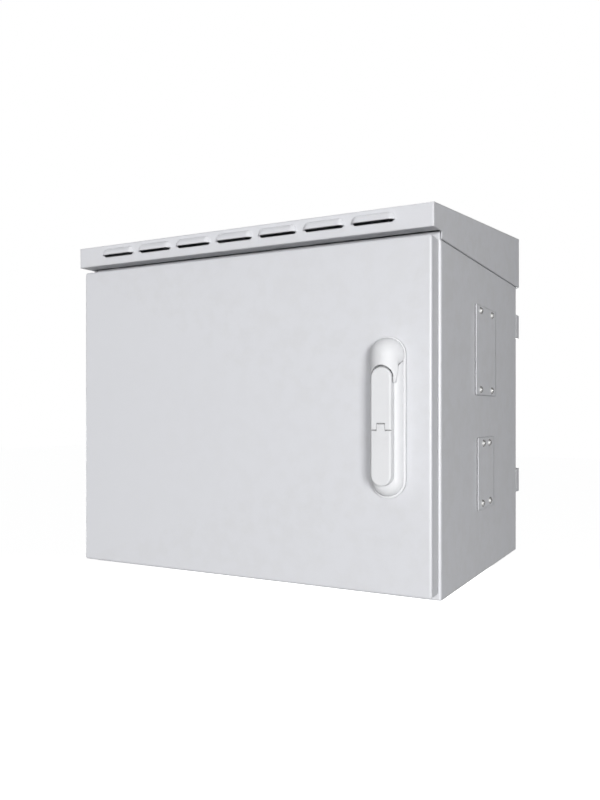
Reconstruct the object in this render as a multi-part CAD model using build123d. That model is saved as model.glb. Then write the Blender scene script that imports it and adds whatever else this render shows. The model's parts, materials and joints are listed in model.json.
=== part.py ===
# Wall-mounted outdoor utility cabinet with a sloped rain canopy, an overlay door on concealed
# hinges, a swing handle that works two lock rods, and a 19-inch rack frame inside.
# Millimetres. +X is to the right seen from the front, +Y to the wall, +Z up.
# The origin is the centre of the bottom face.
import math
import os

from build123d import *

os.makedirs("parts", exist_ok=True)

# Driving dimensions of the body
BODY_W = 600.0
BODY_D = 440.0
BODY_H = 488.0
SHEET = 1.5
BEND_R = 3.0
FLANGE_SIDE = 28.0
FLANGE_LEVEL = 30.0
RIM_DEPTH = 16.0

# Door
DOOR_SIDE_INSET = 2.8
DOOR_BOTTOM = 7.4
DOOR_TOP_GAP = 9.2
DOOR_T = 26.0
DOOR_GAP = 4.0
DOOR_CORNER_R = 4.0
DOOR_EDGE_R = 2.5
DOOR_LIP = 12.0
GASKET_W = 15.0
SOFT_GAP = 0.3

# Canopy
CANOPY_SIDE_GAP = 1.0
CANOPY_PROUD = 6.6
LIP_DROP = 1.6
LIP_H = 31.5
LIP_RETURN = 23.0
CANOPY_RISE = 48.6
CANOPY_BACK_OVERHANG = 12.0
SKIRT_DROP = 11.6
SKIRT_STEP = 3.0
CANOPY_EDGE_R = 1.4
LOUVER_COUNT = 7
LOUVER_PITCH = 73.2
LOUVER_SHIFT = -0.6
LOUVER_TOP_W = 46.0
LOUVER_DEPTH = 8.5
LOUVER_H = 10.5
LOUVER_RISE = 14.9
SLOT_W = 57.4
SLOT_DROP = 2.5
ROOF_RAIL_INSET = 80.0
ROOF_RAIL_END = 20.0
ROOF_FOOT = 25.0
ROOF_BOLT_END = 30.0
ROOF_BOLT_R = 3.0
ROOF_BOLT_HEAD = (10.0, 4.0)
ROOF_BOLT_TOP = 8.0

# Right side cover plates
COVER_Y = 2.0
COVER_T = 1.5
COVER_GASKET_T = 1.0
COVER_CORNER_R = 2.0
UPPER_COVER = (116.0, 138.0)
UPPER_COVER_DROP = 143.9
UPPER_SCREW_Y = 66.8
UPPER_SCREW_Z = 121.0
LOWER_COVER = (93.6, 111.0)
LOWER_COVER_Z = 154.6
LOWER_SCREW_TOP_Y = 36.0
LOWER_SCREW_BOTTOM_Y = 44.0
LOWER_SCREW_Z = 92.6
COVER_OVERLAP = 17.5
COVER_SCREW_HEAD_R = 6.0
COVER_SCREW_HEAD_H = 3.6
COVER_SCREW_R = 3.0
COVER_SCREW_L = 9.0

# Wall rails
WALL_RAIL_DEPTH = 22.6
WALL_RAIL_T = 2.0
WALL_RAIL_H = 42.0
UPPER_RAIL_DROP = 82.0
LOWER_RAIL_RISE = 125.0
WALL_RAIL_LIP = 12.0
WALL_HOLE_R = 4.5
WALL_HOLE_INSET = 50.0
WALL_SPACER_R = 6.5
WALL_SCREW_INNER = 90.0
WALL_SCREW_INSET = 25.0
WALL_SCREW_R = 2.5
WALL_SCREW_HEAD_H = 2.5

# Hinges
HINGE_INSET = 10.8
HINGE_FROM_FRONT = 12.0
HINGE_END = 75.0
HINGE_ARM_H = 30.0
HINGE_ARM_T = 3.0
HINGE_BARREL_R = 5.0
HINGE_PIN_R = 2.5
PIN_CLEARANCE = 0.05
HINGE_PLAY = 0.4
HINGE_EAR_T = 3.0
HINGE_PLATE_T = 2.5
HINGE_FOOT_W = 15.7
HINGE_SCREW_IN = 10.2
HINGE_SCREW_R = 2.5
HINGE_SCREW_HEAD = (2.0, 2.5)
HINGE_PIN_HEAD = (1.0, 1.5)
HINGE_PLATE_MARGIN = 3.0
HINGE_SCREW_Z = 8.0
NOTCH_HALF = 17.0
NOTCH_REACH = 8.0

# Door stiffeners
STIFFENER_W = 36.0
STIFFENER_FLANGE = 10.0
STIFFENER_RISE = 12.0
STIFFENER_HINGE_SIDE = 130.0
STIFFENER_LOCK_SIDE = 108.0
STIFFENER_GAP = 12.0
STIFFENER_HOLE_PITCH = 25.0
STIFFENER_HOLE_R = 2.25

# Handle, with its heights counted down from the axis it turns on
HANDLE_INSET = 62.0
HUB_RISE = 80.9
BASE_R = 25.0
BASE_DROP = 188.9
BASE_FLANGE_T = 2.0
PAD_R = 22.0
PAD_H = 15.0
PAD_FOOT_H = 0.5
HANDLE_GASKET_T = 1.0
COWL_R = 23.0
COWL_H = 25.6
COWL_PLAY = 0.4
COWL_SIDE_PLAY = 0.5
COWL_TAIL_DROP = 37.0
COWL_TAIL_HALF = 17.0
COWL_FLOOR = 11.4
COWL_CROWN = 3.0
LEVER_R = 14.2
LEVER_TOP_DROP = 16.2
LEVER_L = 154.8
LEVER_T = 11.0
LEVER_LIFT = 1.0
LEVER_EDGE_R = 2.5
LEVER_GAP = 1.2
LEVER_TOP_GAP = 2.4
LEVER_PIN_R = 1.75
LEVER_PIN_BACK = 2.4
LEVER_PIN_HALF = 16.5
LEVER_TIP_T = 4.6
LEVER_WEDGE_RISE = 0.5
LEVER_CORNER_R = 2.0
COVER_SPLIT_DROP = 98.4
COVER_SPLIT_GAP = 1.5
COVER_SIDE_GAP = 0.3
COVER_LID_T = 4.2
COVER_PLAY = 0.3
TONGUE_HALF = 5.6
TONGUE_H = 8.6
GUIDE_X = 10.6
GUIDE_NECK = 2.0
GUIDE_FOOT = 3.0
GUIDE_DEPTH = 3.5
GUIDE_DROP = 3.6
GUIDE_L = 11.0
COVER_TRAVEL = 46.0

# Profile cylinder
CYLINDER_DROP = 126.0
CYLINDER_R = 8.5
CYLINDER_STEM = 10.0
CYLINDER_H = 33.0
CYLINDER_L = 40.0
CYLINDER_PLAY = 0.2
CYLINDER_SINK = 0.6
PLUG_R = 6.5
KEYWAY = (2.2, 8.5, 24.0)
CAM_T = 3.6
CAM_L = 14.0
CAM_W = 8.0
CAM_WALL = 2.5
CAM_END = 1.0
TAIL_R = 4.0
WINDOW_W = 15.0
WINDOW_RISE = 10.0
WINDOW_H = 36.0
POCKET = (18.0, 52.0, 5.0)
POCKET_DROP = 62.0

# Rod lock
GEAR_MODULE = 1.5
GEAR_TEETH = 14
GEAR_PRESSURE = 20.0
GEAR_BACKLASH = 0.1
GEAR_ADDENDUM = 1.2
GEAR_DEDENDUM = 1.5
RACK_ADDENDUM = 1.0
RACK_TEETH = (-2, 6)
PINION_T = 8.0
PINION_COLLAR_R = 7.5
SPINDLE_R = 6.0
SPINDLE_SQUARE = 9.0
SPINDLE_END_R = 4.0
SPINDLE_END_L = 3.0
END_PLAY = 0.5
RUNNING = 0.06
ROD_T = 6.0
ROD_W = 7.5
ROD_FRONT = 34.0
ROD_STOP = 1.5
ROD_TAIL = 12.0
ROD_PLAY = 0.4
ROD_TIP = 2.0
CASE_HALF_W = 22.0
CASE_HALF_H = 44.0
CASE_WALL = 2.0
CASE_FRONT = 29.0
CASE_DEPTH = 14.5
CASE_NECK_R = 14.0
CASE_FOOT = (46.0, 60.0)
CASE_FOOT_T = 2.5
CASE_CORNER_R = 3.0
CASE_STUD = (18.0, 25.0)
CASE_STUD_R = 2.0
CASE_STUD_L = 8.0
CASE_NUT = (7.0, 3.2)
CASE_SCREW = (2.4, 11.0)
CASE_TAB = (12.0, 11.0)
CASE_BLIND = 3.0
ROD_GUIDE_END = 45.0
ROD_GUIDE_T = 8.0
ROD_GUIDE_RIM = 3.0
ROD_GUIDE_FOOT_T = 2.0
ROD_GUIDE_WINDOW = (5.0, 4.0)
HANDLE_SCREW_DROPS = (62.0, 174.0)
HANDLE_SCREW_R = 3.0
HANDLE_SCREW_L = 9.0
HANDLE_SCREW_HEAD = (10.0, 4.0)
HANDLE_WASHER_T = 1.6

# Rack frame
DEPTH_RAIL_H = 30.0
DEPTH_RAIL_T = 1.5
DEPTH_RAIL_STAND = 34.5
DEPTH_RAIL_END = 20.0
DEPTH_RAIL_MARGIN = 48.0
DEPTH_RAIL_LIP = 12.0
DEPTH_SLOT = (20.0, 7.0)
DEPTH_SLOT_PITCH = 40.0
RACK_UNIT = 44.45
RACK_CLEAR = 80.0
RACK_HOLE_STEPS = (6.35, 22.225, 38.1)
RACK_HOLE = 9.5
RACK_HOLE_IN = 7.55
RACK_FLANGE = 37.5
RACK_RAIL_T = 2.0
RACK_RAIL_MARGIN = 9.0
RACK_RAIL_BEHIND = 48.0
RACK_RAIL_SIDE = 30.0
RACK_BOLT_R = 3.0
RACK_BOLT_HEAD = (10.0, 4.0)

# Ventilation, cable entries and earth stud
VENT_Y = 40.0
VENT_SLOT = (90.0, 5.0)
VENT_ROWS = 9
VENT_PITCH = 14.0
VENT_COLUMN_X = 60.0
FILTER_HALF = (115.0, 70.0)
FILTER_T = 8.0
FRAME_RIM = 12.0
FRAME_T = 1.5
FILTER_SCREW = (2.2, 4.0)
GROMMET_X = (-150.0, 0.0, 150.0)
GROMMET_BACK = 80.0
GROMMET_HOLE_R = 25.0
DISH_R = 36.0
DISH_RISE = 3.0
GROMMET_LIP = 4.0
GROMMET_T = 1.5
EARTH_INSET = 60.0
EARTH_BACK = 70.0
EARTH_R = 4.0
EARTH_H = 28.0
EARTH_WASHER_T = 1.6
EARTH_NUT = (13.0, 6.5)
EARTH_NUT_RISE = 12.0

# Places worked out from the sizes above
FRONT = -BODY_D / 2
BACK = BODY_D / 2
HALF_W = BODY_W / 2
DOOR_TOP = BODY_H - DOOR_TOP_GAP
LIP_BOTTOM = BODY_H - LIP_DROP
SKIRT_BOTTOM = BODY_H - SKIRT_DROP
LOUVER_Z = LIP_BOTTOM + LOUVER_RISE
ROOF_RAIL_X = HALF_W - ROOF_RAIL_INSET
ROOF_RAIL_L = BODY_D - 2 * ROOF_RAIL_END
UPPER_COVER_Z = BODY_H - UPPER_COVER_DROP
WALL_HOLE_X = HALF_W - WALL_HOLE_INSET
HINGE_X = HINGE_INSET - HALF_W
HANDLE_X = HALF_W - HANDLE_INSET
OPEN_X = HALF_W - FLANGE_SIDE
OPEN_LOW = FLANGE_LEVEL
OPEN_HIGH = BODY_H - FLANGE_LEVEL
RIM_Y = FRONT - RIM_DEPTH
DOOR_BACK = FRONT - DOOR_GAP
DOOR_FRONT = DOOR_BACK - DOOR_T
DOOR_SKIN = DOOR_FRONT + SHEET
DOOR_HALF = HALF_W - DOOR_SIDE_INSET
DOOR_MID_Z = (DOOR_BOTTOM + DOOR_TOP) / 2
DOOR_HEIGHT = DOOR_TOP - DOOR_BOTTOM
CANOPY_HALF = HALF_W + CANOPY_SIDE_GAP + SHEET
CANOPY_FRONT = DOOR_FRONT - CANOPY_PROUD
CANOPY_BACK = BACK + CANOPY_BACK_OVERHANG
LIP_TOP = LIP_BOTTOM + LIP_H
CANOPY_SLOPE = CANOPY_RISE / (CANOPY_BACK - CANOPY_FRONT)
ROOF_DROP = SHEET * math.hypot(1, CANOPY_SLOPE)
HINGE_Y = DOOR_FRONT + HINGE_FROM_FRONT
HINGE_ZS = {"lower": DOOR_BOTTOM + HINGE_END, "upper": DOOR_TOP - HINGE_END}
GASKET_FRONT = DOOR_FRONT - HANDLE_GASKET_T
BASE_FRONT = GASKET_FRONT - BASE_FLANGE_T
PAD_FRONT = GASKET_FRONT - PAD_H
COWL_BACK = BASE_FRONT - COWL_PLAY
COWL_FRONT = COWL_BACK - COWL_H
HUB_Z = DOOR_MID_Z + HUB_RISE
BASE_BOTTOM = HUB_Z - BASE_DROP
COWL_TAIL_Z = HUB_Z - COWL_TAIL_DROP
LEVER_TOP = HUB_Z - LEVER_TOP_DROP
LEVER_BOTTOM = LEVER_TOP - LEVER_L
COVER_SPLIT_Z = HUB_Z - COVER_SPLIT_DROP
GUIDE_Z = (COVER_SPLIT_Z - GUIDE_DROP - GUIDE_L, COVER_SPLIT_Z - GUIDE_DROP)
CYLINDER_Z = HUB_Z - CYLINDER_DROP
WINDOW_Z = (CYLINDER_Z + WINDOW_RISE - WINDOW_H, CYLINDER_Z + WINDOW_RISE)
HANDLE_SCREW_Z = [HUB_Z - drop for drop in HANDLE_SCREW_DROPS]
LEVER_BACK = PAD_FRONT - LEVER_LIFT
LEVER_FRONT = LEVER_BACK - LEVER_T
LEVER_PIN_Y = LEVER_BACK - LEVER_PIN_BACK
LEVER_PIN_Z = LEVER_TOP - LEVER_R
COVER_SEAT = LEVER_FRONT + COVER_LID_T + COVER_PLAY
ROD_Y = (DOOR_FRONT + ROD_FRONT, DOOR_FRONT + ROD_FRONT + ROD_T)
CASE_Y = (DOOR_FRONT + CASE_FRONT, DOOR_FRONT + CASE_FRONT + CASE_DEPTH)
PITCH_R = GEAR_MODULE * GEAR_TEETH / 2
RACK_PITCH = math.pi * GEAR_MODULE
RACK_ROOT = PITCH_R + GEAR_DEDENDUM
ROD_OUTER = RACK_ROOT + ROD_W
RACK_Z = BODY_H / 2
RACK_UNITS = int((BODY_H - RACK_CLEAR) / RACK_UNIT)
RACK_HALF_H = RACK_UNIT * RACK_UNITS / 2
RACK_RAIL_Y = FRONT + RACK_RAIL_BEHIND
DEPTH_RAIL_X = HALF_W - SHEET - DEPTH_RAIL_STAND
DEPTH_RAIL_L = BODY_D - 2 * DEPTH_RAIL_END
DEPTH_RAIL_Z = (DEPTH_RAIL_MARGIN, BODY_H - DEPTH_RAIL_MARGIN)
RACK_OPENING = DEPTH_RAIL_X - DEPTH_RAIL_T - RACK_FLANGE
RACK_HOLE_X = RACK_OPENING + RACK_HOLE_IN
GROMMET_Y = BACK - GROMMET_BACK
EARTH_X = EARTH_INSET - HALF_W
EARTH_Y = BACK - EARTH_BACK
SIDES = {"left": -1, "right": 1}


def block(x, y, z):
    """Box between a low and a high value along each axis."""
    centre = Pos(sum(x) / 2, sum(y) / 2, sum(z) / 2)
    return centre * Box(x[1] - x[0], y[1] - y[0], z[1] - z[0])


def mirror_x(side, near, far):
    """Span along X at that distance from the middle, on the left (-1) or right (1)."""
    return tuple(sorted((side * near, side * far)))


def along_x(outline, x):
    """Solid of an outline drawn in Y and Z, between two X values."""
    return extrude(Plane.YZ.offset(x[0]) * outline, x[1] - x[0])


def along_y(outline, y):
    """Solid of an outline drawn in X and Z, between two Y values."""
    return extrude(Plane.XZ.offset(-y[1]) * outline, y[1] - y[0])


def along_z(outline, z):
    """Solid of an outline drawn in X and Y, between two Z values."""
    return extrude(Plane.XY.offset(z[0]) * outline, z[1] - z[0])


def pillar_x(radius, y, z, x):
    return along_x(Pos(y, z) * Circle(radius), x)


def pillar_y(radius, x, z, y):
    return along_y(Pos(x, z) * Circle(radius), y)


def pillar_z(radius, x, y, z):
    return along_z(Pos(x, y) * Circle(radius), z)


def outline(points):
    return make_face(Polyline(*points, close=True))


def stadium(radius, low, high):
    """Upright slot outline on the handle's middle line, between two heights."""
    straight = high - low - 2 * radius
    return Pos(HANDLE_X, (low + high) / 2) * SlotCenterToCenter(straight, 2 * radius, rotation=90)


def canopy_top(y):
    """Height of the canopy's outer top at that Y."""
    return LIP_TOP + CANOPY_SLOPE * (y - CANOPY_FRONT)


def cabinet_body():
    """One welded shell: sides, back, top, bottom, front flange and the sealing rim."""
    outer = block((-HALF_W, HALF_W), (FRONT, BACK), (0, BODY_H))
    outer = fillet(outer.edges().filter_by(Axis.Z), BEND_R)
    inner = block(
        (-HALF_W + SHEET, HALF_W - SHEET),
        (FRONT + SHEET, BACK - SHEET),
        (SHEET, BODY_H - SHEET),
    )
    inner = fillet(inner.edges().filter_by(Axis.Z), BEND_R - SHEET)
    shell = outer - inner
    mouth_x = (-OPEN_X + SHEET, OPEN_X - SHEET)
    mouth_z = (OPEN_LOW + SHEET, OPEN_HIGH - SHEET)
    rim = block((-OPEN_X, OPEN_X), (RIM_Y, FRONT + SHEET), (OPEN_LOW, OPEN_HIGH))
    shell = shell + rim - block(mouth_x, (RIM_Y - 1, FRONT + 2 * SHEET), mouth_z)
    shell -= side_cutouts()
    shell -= vent_slots()
    shell -= wall_holes((BACK - 2 * SHEET, BACK + 1))
    shell -= roof_bolt_holes()
    shell -= hinge_screw_holes()
    shell -= frame_screw_holes()
    for x in GROMMET_X:
        shell = shell - pillar_z(DISH_R, x, GROMMET_Y, (-1, SHEET + 1)) + cable_dish(x)
    return shell


def side_cutouts():
    """Openings and screw holes of the right side, behind the cover plates."""
    cuts = []
    span = (HALF_W - 2 * SHEET, HALF_W + 1)
    for size, z, screws in side_covers().values():
        hole = RectangleRounded(
            size[0] - 2 * COVER_OVERLAP, size[1] - 2 * COVER_OVERLAP, COVER_CORNER_R
        )
        cuts.append(along_x(Pos(COVER_Y, z) * hole, span))
        for screw_y, screw_z in screws:
            cuts.append(pillar_x(COVER_SCREW_R, screw_y, screw_z, span))
    return cuts


def side_covers():
    """Size, height and screw places of both cover plates."""
    upper = [
        (COVER_Y + side * UPPER_SCREW_Y / 2, UPPER_COVER_Z + level * UPPER_SCREW_Z / 2)
        for side in (-1, 1)
        for level in (-1, 1)
    ]
    spread = {-1: LOWER_SCREW_BOTTOM_Y, 1: LOWER_SCREW_TOP_Y}
    lower = [
        (COVER_Y + side * spread[level] / 2, LOWER_COVER_Z + level * LOWER_SCREW_Z / 2)
        for side in (-1, 1)
        for level in (-1, 1)
    ]
    return {
        "upper": (UPPER_COVER, UPPER_COVER_Z, upper),
        "lower": (LOWER_COVER, LOWER_COVER_Z, lower),
    }


def vent_places():
    first = VENT_Y - (VENT_ROWS - 1) * VENT_PITCH / 2
    columns = (-VENT_COLUMN_X, VENT_COLUMN_X)
    return [(x, first + row * VENT_PITCH) for x in columns for row in range(VENT_ROWS)]


def vent_slots():
    span = (BODY_H - 2 * SHEET, BODY_H + 1)
    return [along_z(Pos(*place) * SlotOverall(*VENT_SLOT), span) for place in vent_places()]


def wall_rail_levels():
    middles = {"lower": LOWER_RAIL_RISE, "upper": BODY_H - UPPER_RAIL_DROP}
    return {name: (z - WALL_RAIL_H / 2, z + WALL_RAIL_H / 2) for name, z in middles.items()}


def wall_holes(y):
    """Through holes for the four wall bolts and the small screws of the wall rails."""
    holes = []
    for low, high in wall_rail_levels().values():
        for side in (-1, 1):
            holes.append(pillar_y(WALL_HOLE_R, side * WALL_HOLE_X, (low + high) / 2, y))
    holes += [pillar_y(WALL_SCREW_R, x, z, y) for x, z in wall_screw_places()]
    return holes


def wall_screw_places():
    places = []
    for low, high in wall_rail_levels().values():
        for x in (WALL_SCREW_INNER, HALF_W - WALL_SCREW_INSET):
            inset = WALL_RAIL_T + WALL_RAIL_LIP / 2
            places.append((x, high - inset))
            places.append((-x, low + inset))
    return places


def roof_bolt_places():
    middle = ROOF_RAIL_X - ROOF_FOOT / 2
    away = ROOF_RAIL_L / 2 - ROOF_BOLT_END
    return [(side * middle, end * away) for side in (-1, 1) for end in (-1, 1)]


def roof_bolt_holes():
    span = (BODY_H - 2 * SHEET, BODY_H + 1)
    return [pillar_z(ROOF_BOLT_R, x, y, span) for x, y in roof_bolt_places()]


def hinge_screw_places():
    x = HINGE_X + HINGE_SCREW_IN
    return [(x, z + side * HINGE_SCREW_Z) for z in HINGE_ZS.values() for side in (-1, 1)]


def hinge_screw_holes():
    span = (FRONT - 1, FRONT + 2 * SHEET)
    return [pillar_y(HINGE_SCREW_R, x, z, span) for x, z in hinge_screw_places()]


def frame_screw_places():
    x = FILTER_HALF[0] + FRAME_RIM / 2
    y = FILTER_HALF[1] + FRAME_RIM / 2
    return [(side * x, VENT_Y + end * y) for side in (-1, 1) for end in (-1, 1)]


def frame_screw_holes():
    span = (BODY_H - 2 * SHEET, BODY_H + 1)
    return [pillar_z(CASE_STUD_R, x, y, span) for x, y in frame_screw_places()]


def cable_dish(x):
    """Ring of the bottom pressed up, so that a grommet's lip stays above the bottom face."""
    ring = [
        (GROMMET_HOLE_R, DISH_RISE),
        (GROMMET_HOLE_R, DISH_RISE + SHEET),
        (DISH_R - DISH_RISE, DISH_RISE + SHEET),
        (DISH_R, SHEET),
        (DISH_R, 0),
        (DISH_R - DISH_RISE, DISH_RISE),
    ]
    profile = Plane.XZ * outline(ring)
    return Pos(x, GROMMET_Y, 0) * revolve(profile, Axis.Z)


def cable_grommets():
    """Rubber membranes snapped into the cable entries."""
    low = DISH_RISE - GROMMET_T
    high = DISH_RISE + SHEET + GROMMET_T
    profile = [
        (0, DISH_RISE),
        (0, DISH_RISE + GROMMET_T),
        (GROMMET_HOLE_R - GROMMET_LIP, DISH_RISE + GROMMET_T),
        (GROMMET_HOLE_R - GROMMET_LIP, high),
        (GROMMET_HOLE_R + GROMMET_LIP, high),
        (GROMMET_HOLE_R + GROMMET_LIP, DISH_RISE + SHEET),
        (GROMMET_HOLE_R, DISH_RISE + SHEET),
        (GROMMET_HOLE_R, DISH_RISE),
        (GROMMET_HOLE_R + GROMMET_LIP, DISH_RISE),
        (GROMMET_HOLE_R + GROMMET_LIP, low),
        (GROMMET_HOLE_R - GROMMET_LIP, low),
        (GROMMET_HOLE_R - GROMMET_LIP, DISH_RISE),
    ]
    grommet = revolve(Plane.XZ * outline(profile), Axis.Z)
    return [Pos(x, GROMMET_Y, 0) * grommet for x in GROMMET_X]


def roof_canopy():
    """Folded rain canopy, closed at the top, front, back and sides, open below."""
    edge = outline([
        (CANOPY_FRONT, LIP_BOTTOM),
        (CANOPY_FRONT, LIP_TOP),
        (CANOPY_BACK, canopy_top(CANOPY_BACK)),
        (CANOPY_BACK, SKIRT_BOTTOM),
        (FRONT - SKIRT_STEP, SKIRT_BOTTOM),
        (FRONT - SKIRT_STEP, LIP_BOTTOM),
    ])
    shell = along_x(edge, (-CANOPY_HALF, CANOPY_HALF))
    folded = shell.edges().group_by(Axis.Y)[0]
    shell = fillet(folded.filter_by(Axis.Z) + folded.filter_by(Axis.X).group_by(Axis.Z)[-1], CANOPY_EDGE_R)
    inside_front = CANOPY_FRONT + SHEET
    inside_back = CANOPY_BACK - SHEET
    lip_end = CANOPY_FRONT + LIP_RETURN
    below = SKIRT_BOTTOM - 1
    cavity = outline([
        (inside_front, LIP_BOTTOM + SHEET),
        (inside_front, canopy_top(inside_front) - ROOF_DROP),
        (inside_back, canopy_top(inside_back) - ROOF_DROP),
        (inside_back, below),
        (lip_end, below),
        (lip_end, LIP_BOTTOM + SHEET),
    ])
    shell -= along_x(cavity, (-CANOPY_HALF + SHEET, CANOPY_HALF - SHEET))
    ahead = block(
        (-CANOPY_HALF, CANOPY_HALF), (CANOPY_FRONT - LOUVER_DEPTH, CANOPY_FRONT + SHEET), (LOUVER_Z, LIP_TOP)
    )
    for x in louver_places():
        shell = shell + (louver_hood(x, 0) & ahead) - louver_hood(x, SHEET) - louver_slot(x)
    return shell


def louver_places():
    middle = (LOUVER_COUNT - 1) / 2
    return [LOUVER_SHIFT + (i - middle) * LOUVER_PITCH for i in range(LOUVER_COUNT)]


def louver_hood(x, wall):
    """Pressed hood with round ends, open below. A wall above 0 gives its hollow."""
    depth = LOUVER_DEPTH - wall
    height = LOUVER_H - wall
    arc = EllipticalCenterArc((0, 0), depth, height, start_angle=90, arc_size=90)
    quarter = make_face(arc + Line((-depth, 0), (0, 0)) + Line((0, 0), (0, height)))
    end = revolve(Plane.YZ * quarter, Axis.Z)
    inner_face = CANOPY_FRONT + SHEET
    span = (x - LOUVER_TOP_W / 2, x + LOUVER_TOP_W / 2)
    hood = along_x(Pos(inner_face, LOUVER_Z) * quarter, span)
    return hood + [Pos(end_x, inner_face, LOUVER_Z) * end for end_x in span]


def louver_slot(x):
    """Slit of the louver in the lip, a little lower than the hood's edge."""
    slit = SlotOverall(SLOT_W, 2 * SLOT_DROP)
    return along_y(Pos(x, LOUVER_Z) * slit, (CANOPY_FRONT - SHEET / 2, CANOPY_FRONT + 2 * SHEET))


def roof_rail(side):
    """Folded rail between the body's top and the sloped canopy."""
    ends = (-ROOF_RAIL_L / 2, ROOF_RAIL_L / 2)
    under = [canopy_top(y) - ROOF_DROP for y in ends]
    web = outline([(ends[0], BODY_H), (ends[0], under[0]), (ends[1], under[1]), (ends[1], BODY_H)])
    inner = ROOF_RAIL_X - SHEET
    rail = along_x(web, mirror_x(side, inner, ROOF_RAIL_X))
    rail += block(mirror_x(side, ROOF_RAIL_X - ROOF_FOOT, inner), ends, (BODY_H, BODY_H + SHEET))
    strip = outline([
        (ends[0], under[0] - ROOF_DROP),
        (ends[0], under[0]),
        (ends[1], under[1]),
        (ends[1], under[1] - ROOF_DROP),
    ])
    rail += along_x(strip, mirror_x(side, ROOF_RAIL_X - ROOF_FOOT, inner))
    return rail - [
        pillar_z(ROOF_BOLT_R, x, y, (BODY_H - 1, BODY_H + 2 * SHEET)) for x, y in roof_bolt_places()
    ]


def hexagon(across_flats):
    return RegularPolygon(across_flats / 2, 6, major_radius=False)


def roof_bolts():
    """Bolts from inside the body into welded nuts on the rails' feet."""
    top = BODY_H - SHEET
    across, height = ROOF_BOLT_HEAD
    foot = BODY_H + SHEET
    bolts = []
    for x, y in roof_bolt_places():
        bolt = along_z(Pos(x, y) * hexagon(across), (top - height, top))
        bolt += pillar_z(ROOF_BOLT_R, x, y, (top, foot + ROOF_BOLT_TOP))
        bolt += along_z(Pos(x, y) * hexagon(across), (foot, foot + height))
        bolts.append(bolt)
    return bolts


def side_cover(level):
    size, z, screws = side_covers()[level]
    x = (HALF_W + COVER_GASKET_T, HALF_W + COVER_GASKET_T + COVER_T)
    plate = along_x(Pos(COVER_Y, z) * RectangleRounded(*size, COVER_CORNER_R), x)
    return plate - [pillar_x(COVER_SCREW_R, *place, (x[0] - 1, x[1] + 1)) for place in screws]


def side_cover_gasket(level):
    size, z, screws = side_covers()[level]
    x = (HALF_W, HALF_W + COVER_GASKET_T)
    cut = (x[0] - 1, x[1] + 1)
    inset = 2 * COVER_GASKET_T
    opening = 2 * COVER_OVERLAP
    sheet = along_x(
        Pos(COVER_Y, z) * RectangleRounded(size[0] - inset, size[1] - inset, COVER_CORNER_R), x
    )
    sheet -= along_x(
        Pos(COVER_Y, z) * RectangleRounded(size[0] - opening, size[1] - opening, COVER_CORNER_R), cut
    )
    return sheet - [pillar_x(COVER_SCREW_R, *place, cut) for place in screws]


def side_cover_screws():
    """Domed screws of both cover plates."""
    seat = HALF_W + COVER_GASKET_T + COVER_T
    rise = COVER_SCREW_HEAD_H
    ball = (COVER_SCREW_HEAD_R**2 + rise**2) / (2 * rise)
    profile = make_face(
        Polyline((0, rise), (0, -COVER_SCREW_L), (COVER_SCREW_R, -COVER_SCREW_L), (COVER_SCREW_R, 0),
                 (COVER_SCREW_HEAD_R, 0))
        + RadiusArc((COVER_SCREW_HEAD_R, 0), (0, rise), -ball)
    )
    screw = Rot(0, 90, 0) * revolve(Plane.XZ * profile, Axis.Z)
    return [Pos(seat, *place) * screw for _, _, screws in side_covers().values() for place in screws]


def wall_rail(level):
    """Lipped channel across the back, closed at its ends, with its closed face on the wall."""
    low, high = wall_rail_levels()[level]
    wall = BACK + WALL_RAIL_DEPTH
    rail = block((-HALF_W, HALF_W), (BACK, wall), (low, high))
    rail -= block(
        (-HALF_W + WALL_RAIL_T, HALF_W - WALL_RAIL_T),
        (BACK + WALL_RAIL_T, wall - WALL_RAIL_T),
        (low + WALL_RAIL_T, high - WALL_RAIL_T),
    )
    rail -= block(
        (-HALF_W + WALL_RAIL_T, HALF_W - WALL_RAIL_T),
        (BACK - 1, BACK + 2 * WALL_RAIL_T),
        (low + WALL_RAIL_T + WALL_RAIL_LIP, high - WALL_RAIL_T - WALL_RAIL_LIP),
    )
    for side in (-1, 1):
        rail -= pillar_y(WALL_HOLE_R, side * WALL_HOLE_X, (low + high) / 2, (BACK - 1, wall + 1))
    lips = (BACK - 1, BACK + 2 * WALL_RAIL_T)
    return rail - [pillar_y(WALL_SCREW_R, x, z, lips) for x, z in wall_screw_places()]


def wall_spacers():
    """Sleeves that carry a wall bolt's pull across each rail."""
    span = (BACK, BACK + WALL_RAIL_DEPTH - WALL_RAIL_T)
    sleeves = []
    for low, high in wall_rail_levels().values():
        for side in (-1, 1):
            ring = Pos(side * WALL_HOLE_X, (low + high) / 2) * (Circle(WALL_SPACER_R) - Circle(WALL_HOLE_R))
            sleeves.append(along_y(ring, span))
    return sleeves


def wall_rail_screws():
    """Pan-head screws from inside the body into the rails' lips."""
    seat = BACK - SHEET
    return [
        pillar_y(2 * WALL_SCREW_R, x, z, (seat - WALL_SCREW_HEAD_H, seat))
        + pillar_y(WALL_SCREW_R, x, z, (seat, BACK + 2 * WALL_RAIL_T))
        for x, z in wall_screw_places()
    ]


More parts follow.
